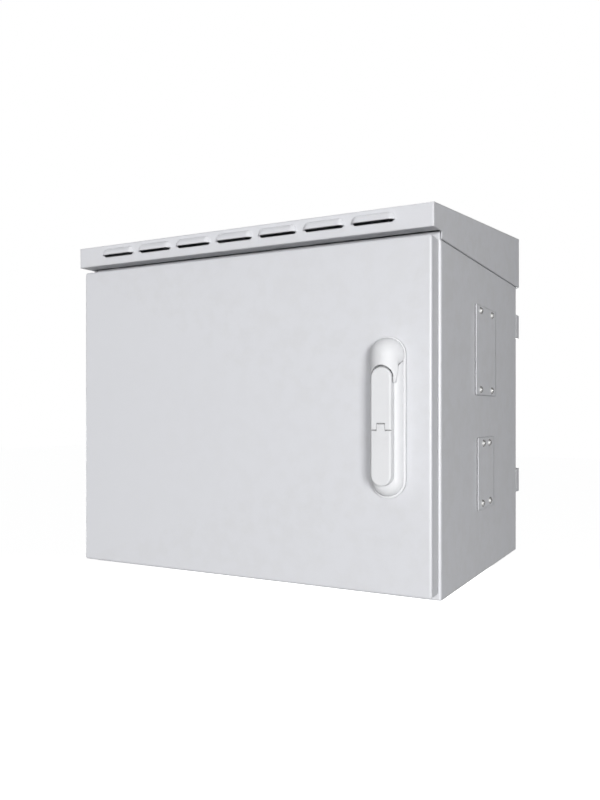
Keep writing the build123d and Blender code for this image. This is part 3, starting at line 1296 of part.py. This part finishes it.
def assembly():
    """Every node's name and its solid or group of solids."""
    nodes = {"cabinet_body": cabinet_body(), "roof_canopy": roof_canopy()}
    for name, side in SIDES.items():
        nodes["roof_rail_" + name] = roof_rail(side)
        nodes["rack_rail_" + name] = rack_rail(side)
        for level, z in zip(("lower", "upper"), DEPTH_RAIL_Z):
            nodes["depth_rail_" + level + "_" + name] = depth_rail(side, z)
    for level in ("lower", "upper"):
        nodes["side_cover_" + level] = side_cover(level)
        nodes["side_cover_gasket_" + level] = side_cover_gasket(level)
        nodes["wall_rail_" + level] = wall_rail(level)
        nodes["hinge_arm_" + level] = hinge_arm(level)
        nodes["hinge_bracket_" + level] = hinge_bracket(level)
        nodes["hinge_pin_" + level] = hinge_pin(level)
    nodes["roof_bolts"] = roof_bolts()
    nodes["side_cover_screws"] = side_cover_screws()
    nodes["wall_spacers"] = wall_spacers()
    nodes["wall_rail_screws"] = wall_rail_screws()
    nodes["hinge_arm_screws"] = hinge_arm_screws()
    nodes["rack_bolts"] = rack_bolts()
    nodes["vent_filter"] = vent_filter()
    nodes["filter_frame"] = filter_frame()
    nodes["filter_screws"] = filter_screws()
    nodes["cable_grommets"] = cable_grommets()
    nodes["earth_stud"] = earth_stud()
    nodes["door_panel"] = door_panel()
    nodes["door_gasket"] = door_gasket()
    nodes["door_stiffener_left"] = door_stiffener(STIFFENER_HINGE_SIDE - HALF_W)
    nodes["door_stiffener_right"] = door_stiffener(HANDLE_X - STIFFENER_LOCK_SIDE)
    nodes["handle_base"] = handle_base()
    nodes["handle_gasket"] = handle_gasket()
    nodes["handle_screws"] = handle_screws()
    nodes["handle_cowl"] = handle_cowl()
    nodes["handle_lever"] = handle_lever()
    nodes["lever_pin"] = lever_pin()
    nodes["cylinder_cover"] = cylinder_cover()
    nodes["lock_cylinder"] = lock_cylinder()
    nodes["cylinder_plug"] = cylinder_plug()
    nodes["lock_cam"] = lock_cam()
    nodes["spindle"] = spindle()
    nodes["pinion"] = pinion()
    nodes["lock_case"] = lock_case()
    nodes["lock_case_cover"] = lock_case_cover()
    nodes["lock_case_fixings"] = lock_case_fixings()
    low = OPEN_LOW + SHEET
    high = OPEN_HIGH - SHEET
    nodes["upper_rod"] = lock_rod(1, high - ROD_STOP - HUB_Z)
    nodes["lower_rod"] = lock_rod(-1, HUB_Z - low - ROD_STOP)
    nodes["rod_guide_upper"] = rod_guide(1, high - ROD_GUIDE_END / 2)
    nodes["rod_guide_lower"] = rod_guide(-1, low + ROD_GUIDE_END / 2)
    return nodes


for node, shape in assembly().items():
    solids = []
    for piece in shape if isinstance(shape, list) else [shape]:
        solids += piece.solids()
    export_step(Compound(solids) if len(solids) > 1 else solids[0], "parts/" + node + ".step")
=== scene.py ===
# Looks of the wall-mounted outdoor utility cabinet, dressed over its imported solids.
# Metres, in the row's frame: +X to the right seen from the door, +Y to the wall, +Z up.
import json
import math

import bpy
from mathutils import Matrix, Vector

# Picture, in pixels, and the camera that was fitted to it
PICTURE_H = 800
FOCAL_PX = 766.85
HORIZON_ROW = 412.56
CAMERA_PLACE = Vector((0.61487, -1.19855, 0.2485))
CAMERA_TURN = math.radians(28.25)
SENSOR = 36.0

# Room: the cabinet hangs on a wall, so the floor lies well below it
FLOOR_Z = -0.95
FLOOR_SIZE = 40.0
FLOOR_COLOUR = (0.25, 0.25, 0.25)
FLOOR_ROUGHNESS = 0.9
FLOOR_GLOW = 0.95
LIGHT_TARGET = Vector((0.0, -0.1, 0.28))
AMBIENT = (0.90, 0.94, 1.0)
AMBIENT_STRENGTH = 0.06

# Mirrored room: what is left of its white where it is dark, and the spans over which it darkens.
# The world's spans are parts of a ray's direction, and the floor's are metres in the frame.
ROOM_SHADE = 0.2
WORLD_WALL_SIDE = (-0.1, 0.3)
WORLD_STEEP = (0.3, 0.75)
FLOOR_WALL_SIDE = (-0.1, 0.5)
FLOOR_STEEP = (1.4, 3.9)

# Paint: radius that catches light on sheet and on castings, grain of both, what lies on it, and painted
# shade in its seams.
# A noise is its scale in bumps to the metre, its detail and its roughness.
SHEET_EDGE = 0.0035
CASTING_EDGE = 0.0012
SHEET_PEEL = 0.0011
CASTING_PEEL = 0.0007
PEEL_HEIGHT = 0.00003
PEEL_STRENGTH = 0.35
PAINT_GLOSS_CHANGE = 0.015
PAINT_RUB = 0.35
NOISE_MIDDLE = 0.5
SLOW_TINT_NOISE = (5.0, 3.0, 0.5)
FINE_GLOSS_NOISE = (60.0, 2.0, 0.5)
PEEL_DETAIL = 2.0
PEEL_ROUGHNESS = 0.45
RUB_NOISE = (45.0, 4.0, 0.6)
RUB_POINTINESS = (0.52, 0.62)
RUB_PATCHES = (0.42, 0.62)
DUST_NOISE = (9.0, 5.0, 0.6)
DUST_FACING_UP = (0.3, 1.0)
DUST_CLOUD = (0.35, 0.7)
DUST_CLOUD_LEAST = 0.2
PRIMER = (0.62, 0.62, 0.62)
PALE_DUST = (0.62, 0.60, 0.56)
# Painted shade: the colour that seams and recesses are darkened towards, standing in for their shade
PAINTED_SEAM_SHADE = (0.09, 0.09, 0.09)
SEAM_REACH = 0.003
SEAM_AMOUNT = 0.7
SEAM_OPENNESS = (0.2, 0.6)
SOFT_SAMPLES = {"bevel": 8, "seams": 6}

# Plated and bare metal: grain of its spangle and how it dents the light
PLATE_PEEL = 0.004
PLATE_GLOSS_CHANGE = 0.25
SPANGLE_NOISE = (90.0, 3.0, 0.6)
SPANGLE_SPAN = (0.4, 0.7)
SPANGLE_DARKER = 0.72
RUBBED_BRIGHTER = 1.18
SPANGLE_HEIGHT = 0.00004
SPANGLE_STRENGTH = 0.25

# Rubber and filter fibre
RUBBER_PORE = 0.0008
RUBBER_PORE_HEIGHT = 0.0001
RUBBER_PORE_STRENGTH = 0.5
RUBBER_TINT = 0.3
RUBBER_GLOSS = 0.72
RUBBER_GLOSS_CHANGE = 0.2
RUBBER_DUST = (0.3, 0.29, 0.27)
RUBBER_DUST_AMOUNT = 0.18
FIBRE_NOISE = (900.0, 4.0, 0.7)
FIBRE_SPAN = (0.35, 0.7)
FIBRE_SHADE = (0.6, 1.1)
FIBRE_STRETCH = (1.0, 0.25, 1.0)
FIBRE_HEIGHT = 0.0008
FIBRE_STRENGTH = 0.8
FIBRE_ROUGHNESS = 0.95
FIBRE_DUST = (0.4, 0.38, 0.34)
FIBRE_DUST_AMOUNT = 0.3

# Softboxes: azimuth from the door's own direction towards +X, elevation, distance, width, height, watts
SOFTBOXES = {
    "key_softbox": (40.0, 4.0, 8.0, 2.1, 2.4, 402.0),
    "fill_softbox": (12.0, -1.0, 8.0, 3.2, 2.4, 238.0),
    "edge_softbox": (105.0, 6.0, 5.0, 0.2, 1.6, 9.0),
    "roof_softbox": (0.0, 86.0, 3.5, 2.6, 2.2, 32.0),
    "hinge_side_softbox": (-115.0, -6.0, 5.0, 2.4, 1.2, 62.0),
    "wall_side_softbox": (200.0, -6.0, 5.0, 2.4, 1.2, 105.0),
}


def node_tree_group(name, inputs, outputs):
    """Empty shader group with named sockets, and its two end nodes."""
    group = bpy.data.node_groups.new(name, "ShaderNodeTree")
    for socket, kind, value in inputs:
        made = group.interface.new_socket(name=socket, in_out="INPUT", socket_type=kind)
        made.default_value = value
    for socket, kind in outputs:
        group.interface.new_socket(name=socket, in_out="OUTPUT", socket_type=kind)
    return group, group.nodes.new("NodeGroupInput"), group.nodes.new("NodeGroupOutput")


def math_node(tree, operation, first, second=None, clamp=False):
    """Math node. A number goes on its socket, and anything else is linked to it."""
    node = tree.nodes.new("ShaderNodeMath")
    node.operation = operation
    node.use_clamp = clamp
    for socket, value in zip(node.inputs, (first, second)):
        if value is None:
            continue
        if isinstance(value, (int, float)):
            socket.default_value = value
        else:
            tree.links.new(value, socket)
    return node.outputs[0]


def noise_node(tree, vector, scale, detail, roughness):
    """Output of a noise texture, from 0 to 1."""
    node = tree.nodes.new("ShaderNodeTexNoise")
    node.inputs["Scale"].default_value = scale
    node.inputs["Detail"].default_value = detail
    node.inputs["Roughness"].default_value = roughness
    tree.links.new(vector, node.inputs["Vector"])
    return node.outputs["Fac"]


def spread_node(tree, value, low, high, to_low, to_high):
    """Map Range node from one span to another, clamped."""
    node = tree.nodes.new("ShaderNodeMapRange")
    tree.links.new(value, node.inputs["Value"])
    for name, number in (("From Min", low), ("From Max", high), ("To Min", to_low), ("To Max", to_high)):
        node.inputs[name].default_value = number
    return node.outputs["Result"]


def coat_texture_group():
    """Powder coat: fine orange-peel height, a slow tint and a slow change of gloss."""
    group, start, end = node_tree_group(
        "powder_coat_texture",
        [
            ("Peel Size", "NodeSocketFloat", 0.0012),
            ("Tint Amount", "NodeSocketFloat", 0.02),
            ("Gloss", "NodeSocketFloat", 0.4),
            ("Gloss Change", "NodeSocketFloat", 0.05),
        ],
        [("Height", "NodeSocketFloat"), ("Tint", "NodeSocketFloat"), ("Roughness", "NodeSocketFloat")],
    )
    place = group.nodes.new("ShaderNodeTexCoord").outputs["Object"]
    inverse = math_node(group, "DIVIDE", 1.0, start.outputs["Peel Size"])
    peel = group.nodes.new("ShaderNodeTexNoise")
    peel.inputs["Detail"].default_value = PEEL_DETAIL
    peel.inputs["Roughness"].default_value = PEEL_ROUGHNESS
    group.links.new(place, peel.inputs["Vector"])
    group.links.new(inverse, peel.inputs["Scale"])
    slow = noise_node(group, place, *SLOW_TINT_NOISE)
    fine = noise_node(group, place, *FINE_GLOSS_NOISE)
    centred = math_node(group, "SUBTRACT", slow, NOISE_MIDDLE)
    tint = math_node(group, "MULTIPLY_ADD", centred, start.outputs["Tint Amount"])
    tint.node.inputs[2].default_value = 1.0
    mixed = math_node(group, "ADD", math_node(group, "SUBTRACT", fine, NOISE_MIDDLE), centred)
    gloss = math_node(group, "MULTIPLY_ADD", mixed, start.outputs["Gloss Change"])
    group.links.new(start.outputs["Gloss"], gloss.node.inputs[2])
    group.links.new(peel.outputs["Fac"], end.inputs["Height"])
    group.links.new(tint, end.inputs["Tint"])
    group.links.new(gloss, end.inputs["Roughness"])
    return group


def edge_wear_group():
    """Mask of rubbed edges, from the mesh's own pointiness broken up by noise."""
    group, start, end = node_tree_group(
        "rubbed_edges",
        [("Amount", "NodeSocketFloat", 0.2)],
        [("Mask", "NodeSocketFloat")],
    )
    geometry = group.nodes.new("ShaderNodeNewGeometry")
    place = group.nodes.new("ShaderNodeTexCoord").outputs["Object"]
    edge = spread_node(group, geometry.outputs["Pointiness"], *RUB_POINTINESS, 0.0, 1.0)
    patchy = spread_node(group, noise_node(group, place, *RUB_NOISE), *RUB_PATCHES, 0.0, 1.0)
    mask = math_node(group, "MULTIPLY", edge, patchy)
    scaled = math_node(group, "MULTIPLY", mask, start.outputs["Amount"], clamp=True)
    group.links.new(scaled, end.inputs["Mask"])
    return group


def settled_dust_group():
    """Mask of fine dust that lies on faces turned upwards."""
    group, start, end = node_tree_group(
        "settled_dust",
        [("Amount", "NodeSocketFloat", 0.1)],
        [("Mask", "NodeSocketFloat")],
    )
    geometry = group.nodes.new("ShaderNodeNewGeometry")
    place = group.nodes.new("ShaderNodeTexCoord").outputs["Object"]
    split = group.nodes.new("ShaderNodeSeparateXYZ")
    group.links.new(geometry.outputs["Normal"], split.inputs[0])
    upward = spread_node(group, split.outputs["Z"], *DUST_FACING_UP, 0.0, 1.0)
    specks = noise_node(group, place, *DUST_NOISE)
    cloud = spread_node(group, specks, *DUST_CLOUD, DUST_CLOUD_LEAST, 1.0)
    mask = math_node(group, "MULTIPLY", upward, cloud)
    scaled = math_node(group, "MULTIPLY", mask, start.outputs["Amount"], clamp=True)
    group.links.new(scaled, end.inputs["Mask"])
    return group


def painted_crevice_shade_group():
    """Mask of painted shade in seams and behind edges, from ambient occlusion."""
    group, start, end = node_tree_group(
        "painted_crevice_shade",
        [("Reach", "NodeSocketFloat", 0.004), ("Amount", "NodeSocketFloat", 0.8)],
        [("Mask", "NodeSocketFloat")],
    )
    # Ambient occlusion darkens seams and recesses: shade painted into the colour
    hollow = group.nodes.new("ShaderNodeAmbientOcclusion")
    hollow.samples = SOFT_SAMPLES["seams"]
    group.links.new(start.outputs["Reach"], hollow.inputs["Distance"])
    deep = spread_node(group, hollow.outputs["AO"], *SEAM_OPENNESS, 1.0, 0.0)
    scaled = math_node(group, "MULTIPLY", deep, start.outputs["Amount"], clamp=True)
    group.links.new(scaled, end.inputs["Mask"])
    return group


def group_node(tree, group, **values):
    """Places a shader group and sets its named inputs."""
    node = tree.nodes.new("ShaderNodeGroup")
    node.node_tree = group
    for name, value in values.items():
        node.inputs[name.replace("_", " ")].default_value = value
    return node


def mixed_colour(tree, mask, first, second):
    """Mix of two colours by a mask. Each colour is a number triple or an output.

    A Mix node repeats its socket names for each data type, so its colours are told by place.
    """
    node = tree.nodes.new("ShaderNodeMix")
    node.data_type = "RGBA"
    tree.links.new(mask, node.inputs["Factor"])
    for socket, colour in ((node.inputs[6], first), (node.inputs[7], second)):
        if isinstance(colour, tuple):
            socket.default_value = (*colour, 1.0)
        else:
            tree.links.new(colour, socket)
    return node.outputs[2]


def tinted_colour(tree, colour, tint):
    """Colour made lighter or darker by an output near 1."""
    node = tree.nodes.new("ShaderNodeVectorMath")
    node.operation = "SCALE"
    node.inputs[0].default_value = colour
    tree.links.new(tint, node.inputs["Scale"])
    return node.outputs["Vector"]


def folded_edge(tree, radius):
    """Normal that rounds sharp edges a little, as thick paint and folded sheet do."""
    node = tree.nodes.new("ShaderNodeBevel")
    node.samples = SOFT_SAMPLES["bevel"]
    node.inputs["Radius"].default_value = radius
    return node.outputs["Normal"]


def bump_node(tree, height, distance, strength):
    """Normal dented by a height, over a distance in metres."""
    node = tree.nodes.new("ShaderNodeBump")
    node.inputs["Distance"].default_value = distance
    node.inputs["Strength"].default_value = strength
    tree.links.new(height, node.inputs["Height"])
    return node.outputs["Normal"]


def new_material(name, **settings):
    """Material with its Principled shader. Settings are plain values on its sockets."""
    material = bpy.data.materials.new(name)
    material.use_nodes = True
    tree = material.node_tree
    shader = tree.nodes["Principled BSDF"]
    for socket, value in settings.items():
        shader.inputs[socket.replace("_", " ")].default_value = value
    return material, tree, shader


def coated_metal(name, groups, colour, peel, gloss, tint, dust, edge):
    """Powder-coated sheet or casting: rubbed edges, a little dust on top and painted shade in seams."""
    material, tree, shader = new_material(name, IOR=1.5)
    texture = group_node(
        tree,
        groups["coat"],
        Peel_Size=peel,
        Tint_Amount=tint,
        Gloss=gloss,
        Gloss_Change=PAINT_GLOSS_CHANGE,
    )
    worn = group_node(tree, groups["wear"], Amount=PAINT_RUB)
    dusty = group_node(tree, groups["dust"], Amount=dust)
    coat = tinted_colour(tree, colour, texture.outputs["Tint"])
    # Painted shade in seams and recesses, mixed into the paint's colour
    seam_shading = group_node(tree, groups["seam_shade"], Reach=SEAM_REACH, Amount=SEAM_AMOUNT)
    rubbed = mixed_colour(tree, worn.outputs["Mask"], coat, PRIMER)
    dusted = mixed_colour(tree, dusty.outputs["Mask"], rubbed, PALE_DUST)
    seamed = mixed_colour(tree, seam_shading.outputs["Mask"], dusted, PAINTED_SEAM_SHADE)
    bump = bump_node(tree, texture.outputs["Height"], PEEL_HEIGHT, PEEL_STRENGTH)
    tree.links.new(folded_edge(tree, edge), bump.node.inputs["Normal"])
    tree.links.new(seamed, shader.inputs["Base Color"])
    tree.links.new(texture.outputs["Roughness"], shader.inputs["Roughness"])
    tree.links.new(bump, shader.inputs["Normal"])
    return material


def plated_metal(name, groups, colour, roughness, cloud, wear):
    """Plated or bare metal with a cloudy spangle and rubbed edges."""
    material, tree, shader = new_material(name, Metallic=1.0)
    place = tree.nodes.new("ShaderNodeTexCoord").outputs["Object"]
    spangle = noise_node(tree, place, *SPANGLE_NOISE)
    texture = group_node(
        tree,
        groups["coat"],
        Peel_Size=PLATE_PEEL,
        Tint_Amount=cloud,
        Gloss=roughness,
        Gloss_Change=PLATE_GLOSS_CHANGE,
    )
    worn = group_node(tree, groups["wear"], Amount=wear)
    base = tinted_colour(tree, colour, texture.outputs["Tint"])
    darker = tuple(SPANGLE_DARKER * part for part in colour)
    clouded = mixed_colour(tree, spread_node(tree, spangle, *SPANGLE_SPAN, 0.0, cloud), base, darker)
    bright = tuple(min(1.0, RUBBED_BRIGHTER * part) for part in colour)
    rubbed = mixed_colour(tree, worn.outputs["Mask"], clouded, bright)
    tree.links.new(rubbed, shader.inputs["Base Color"])
    tree.links.new(texture.outputs["Roughness"], shader.inputs["Roughness"])
    tree.links.new(bump_node(tree, spangle, SPANGLE_HEIGHT, SPANGLE_STRENGTH), shader.inputs["Normal"])
    return material


def moulded_rubber(name, groups, colour):
    """Matt closed-cell rubber with a fine pore and pale dust."""
    material, tree, shader = new_material(name, IOR=1.45)
    texture = group_node(
        tree,
        groups["coat"],
        Peel_Size=RUBBER_PORE,
        Tint_Amount=RUBBER_TINT,
        Gloss=RUBBER_GLOSS,
        Gloss_Change=RUBBER_GLOSS_CHANGE,
    )
    dusty = group_node(tree, groups["dust"], Amount=RUBBER_DUST_AMOUNT)
    base = tinted_colour(tree, colour, texture.outputs["Tint"])
    dusted = mixed_colour(tree, dusty.outputs["Mask"], base, RUBBER_DUST)
    tree.links.new(dusted, shader.inputs["Base Color"])
    tree.links.new(texture.outputs["Roughness"], shader.inputs["Roughness"])
    bump = bump_node(tree, texture.outputs["Height"], RUBBER_PORE_HEIGHT, RUBBER_PORE_STRENGTH)
    tree.links.new(bump, shader.inputs["Normal"])
    return material


def fibre_mat(name, groups, colour):
    """Filter mat of tangled pale fibres."""
    material, tree, shader = new_material(name, IOR=1.4)
    place = tree.nodes.new("ShaderNodeTexCoord").outputs["Object"]
    stretch = tree.nodes.new("ShaderNodeMapping")
    stretch.inputs["Scale"].default_value = FIBRE_STRETCH
    tree.links.new(place, stretch.inputs["Vector"])
    strands = noise_node(tree, stretch.outputs["Vector"], *FIBRE_NOISE)
    dusty = group_node(tree, groups["dust"], Amount=FIBRE_DUST_AMOUNT)
    shade = spread_node(tree, strands, *FIBRE_SPAN, *FIBRE_SHADE)
    base = tinted_colour(tree, colour, shade)
    dusted = mixed_colour(tree, dusty.outputs["Mask"], base, FIBRE_DUST)
    tree.links.new(dusted, shader.inputs["Base Color"])
    shader.inputs["Roughness"].default_value = FIBRE_ROUGHNESS
    tree.links.new(bump_node(tree, strands, FIBRE_HEIGHT, FIBRE_STRENGTH), shader.inputs["Normal"])
    return material


def finishes():
    """One material for each slot of the record."""
    groups = {
        "coat": coat_texture_group(),
        "wear": edge_wear_group(),
        "dust": settled_dust_group(),
        "seam_shade": painted_crevice_shade_group(),
    }
    return {
        "enclosure_paint": coated_metal(
            "light_grey_powder_coat",
            groups,
            (0.70, 0.706, 0.735),
            peel=SHEET_PEEL,
            gloss=0.31,
            tint=0.008,
            dust=0.05,
            edge=SHEET_EDGE,
        ),
        "handle_paint": coated_metal(
            "off_white_handle_coat",
            groups,
            (0.755, 0.76, 0.775),
            peel=CASTING_PEEL,
            gloss=0.58,
            tint=0.015,
            dust=0.04,
            edge=CASTING_EDGE,
        ),
        "zinc_steel": plated_metal(
            "dull_zinc_plate", groups, (0.60, 0.61, 0.63), roughness=0.42, cloud=0.5, wear=0.4
        ),
        "bright_metal": plated_metal(
            "polished_nickel", groups, (0.80, 0.80, 0.79), roughness=0.12, cloud=0.08, wear=0.3
        ),
        "die_cast": plated_metal(
            "die_cast_zinc", groups, (0.50, 0.50, 0.51), roughness=0.55, cloud=0.35, wear=0.3
        ),
        "brass": plated_metal(
            "plain_brass", groups, (0.76, 0.56, 0.25), roughness=0.3, cloud=0.25, wear=0.4
        ),
        "seal_rubber": moulded_rubber("black_seal_rubber", groups, (0.028, 0.028, 0.03)),
        "filter_mat": fibre_mat("pale_filter_fibre", groups, (0.72, 0.73, 0.70)),
    }


def dress_nodes(frame, materials):
    """Gives every CAD node the finish of its slot."""
    for entry in frame["record"]["subparts"]:
        mesh = frame["nodes"][entry["node"]].data
        mesh.materials.clear()
        mesh.materials.append(materials[entry["material_slot"]])


def white_where_seen(tree, plain):
    """Mixes a plain shader with white light for camera, glossy and transmission rays."""
    seen = tree.nodes.new("ShaderNodeLightPath")
    rays = math_node(tree, "MAXIMUM", seen.outputs["Is Camera Ray"], seen.outputs["Is Glossy Ray"])
    rays = math_node(tree, "MAXIMUM", rays, seen.outputs["Is Transmission Ray"])
    mix = tree.nodes.new("ShaderNodeMixShader")
    tree.links.new(rays, mix.inputs[0])
    tree.links.new(plain, mix.inputs[1])
    return mix


def mirrored_room(tree, wall_side, steep, strength):
    """Strength of the white room, which reflections show darker at the wall, above and below."""
    shade = math_node(tree, "MAXIMUM", wall_side, steep)
    glossy = tree.nodes.new("ShaderNodeLightPath").outputs["Is Glossy Ray"]
    fall = math_node(tree, "MULTIPLY", math_node(tree, "MULTIPLY", shade, glossy), 1.0 - ROOM_SHADE)
    return math_node(tree, "MULTIPLY", math_node(tree, "SUBTRACT", 1.0, fall), strength)


def set_world():
    """Soft light from all round, and the white that camera and reflections see."""
    world = bpy.data.worlds.new("soft_studio")
    bpy.context.scene.world = world
    world.use_nodes = True
    tree = world.node_tree
    tree.nodes.clear()
    soft = tree.nodes.new("ShaderNodeBackground")
    soft.inputs["Color"].default_value = (*AMBIENT, 1.0)
    soft.inputs["Strength"].default_value = AMBIENT_STRENGTH
    white = tree.nodes.new("ShaderNodeBackground")
    white.inputs["Color"].default_value = (1.0, 1.0, 1.0, 1.0)
    direction = tree.nodes.new("ShaderNodeSeparateXYZ")
    tree.links.new(tree.nodes.new("ShaderNodeTexCoord").outputs["Generated"], direction.inputs[0])
    wall_side = spread_node(tree, direction.outputs["Y"], *WORLD_WALL_SIDE, 0.0, 1.0)
    steepness = math_node(tree, "ABSOLUTE", direction.outputs["Z"])
    steep = spread_node(tree, steepness, *WORLD_STEEP, 0.0, 1.0)
    tree.links.new(mirrored_room(tree, wall_side, steep, 1.0), white.inputs["Strength"])
    mix = white_where_seen(tree, soft.outputs[0])
    tree.links.new(white.outputs[0], mix.inputs[2])
    tree.links.new(mix.outputs[0], tree.nodes.new("ShaderNodeOutputWorld").inputs["Surface"])


def lay_floor():
    """Pale paper floor that shows white and keeps the cabinet's shadow."""
    half = FLOOR_SIZE / 2
    mesh = bpy.data.meshes.new("studio_floor")
    corners = [(x, y, FLOOR_Z) for x, y in ((-half, -half), (half, -half), (half, half), (-half, half))]
    mesh.from_pydata(corners, [], [(0, 1, 2, 3)])
    floor = bpy.data.objects.new("studio_floor", mesh)
    bpy.context.scene.collection.objects.link(floor)
    material = bpy.data.materials.new("white_floor_paper")
    material.use_nodes = True
    tree = material.node_tree
    plain = tree.nodes["Principled BSDF"]
    plain.inputs["Base Color"].default_value = (*FLOOR_COLOUR, 1.0)
    plain.inputs["Roughness"].default_value = FLOOR_ROUGHNESS
    glow = tree.nodes.new("ShaderNodeEmission")
    spot = tree.nodes.new("ShaderNodeNewGeometry").outputs["Position"]
    split = tree.nodes.new("ShaderNodeSeparateXYZ")
    tree.links.new(spot, split.inputs[0])
    reach = tree.nodes.new("ShaderNodeVectorMath")
    reach.operation = "LENGTH"
    tree.links.new(spot, reach.inputs[0])
    wall_side = spread_node(tree, split.outputs["Y"], *FLOOR_WALL_SIDE, 0.0, 1.0)
    steep = spread_node(tree, reach.outputs["Value"], *FLOOR_STEEP, 1.0, 0.0)
    tree.links.new(mirrored_room(tree, wall_side, steep, FLOOR_GLOW), glow.inputs["Strength"])
    lit = tree.nodes.new("ShaderNodeAddShader")
    tree.links.new(plain.outputs[0], lit.inputs[0])
    tree.links.new(glow.outputs[0], lit.inputs[1])
    mix = white_where_seen(tree, plain.outputs[0])
    tree.links.new(lit.outputs[0], mix.inputs[2])
    tree.links.new(mix.outputs[0], tree.nodes["Material Output"].inputs["Surface"])
    mesh.materials.append(material)


def hang_softboxes():
    """Softboxes that face the middle of the cabinet."""
    for name, (azimuth, elevation, distance, width, height, power) in SOFTBOXES.items():
        around = math.radians(azimuth)
        up = math.radians(elevation)
        away = Vector((math.sin(around) * math.cos(up), -math.cos(around) * math.cos(up), math.sin(up)))
        light = bpy.data.lights.new(name, "AREA")
        light.shape = "RECTANGLE"
        light.size = width
        light.size_y = height
        light.energy = power
        lamp = bpy.data.objects.new(name, light)
        lamp.location = LIGHT_TARGET + distance * away
        lamp.rotation_euler = away.to_track_quat("Z", "Y").to_euler()
        bpy.context.scene.collection.objects.link(lamp)


def set_camera():
    """Camera at the photograph's place and angle, level, with a shift for its height."""
    camera = bpy.data.cameras.new("photo_camera")
    camera.sensor_width = SENSOR
    camera.lens = FOCAL_PX / PICTURE_H * SENSOR
    camera.shift_y = (HORIZON_ROW - PICTURE_H / 2) / PICTURE_H
    camera.clip_start = 0.01
    rig = bpy.data.objects.new("photo_camera", camera)
    rig.location = CAMERA_PLACE
    rig.rotation_euler = (math.pi / 2, 0.0, CAMERA_TURN)
    bpy.context.scene.collection.objects.link(rig)
    bpy.context.scene.camera = rig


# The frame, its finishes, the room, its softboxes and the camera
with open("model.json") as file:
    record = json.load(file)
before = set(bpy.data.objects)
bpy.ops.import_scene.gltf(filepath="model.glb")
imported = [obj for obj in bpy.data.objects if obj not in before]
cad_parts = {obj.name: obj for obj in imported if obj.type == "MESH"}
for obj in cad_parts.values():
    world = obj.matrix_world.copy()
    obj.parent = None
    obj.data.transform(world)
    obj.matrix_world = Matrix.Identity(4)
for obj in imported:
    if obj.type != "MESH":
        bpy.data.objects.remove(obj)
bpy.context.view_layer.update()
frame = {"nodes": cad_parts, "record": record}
bpy.context.scene.view_settings.view_transform = "Standard"
dress_nodes(frame, finishes())
set_world()
lay_floor()
hang_softboxes()
set_camera()
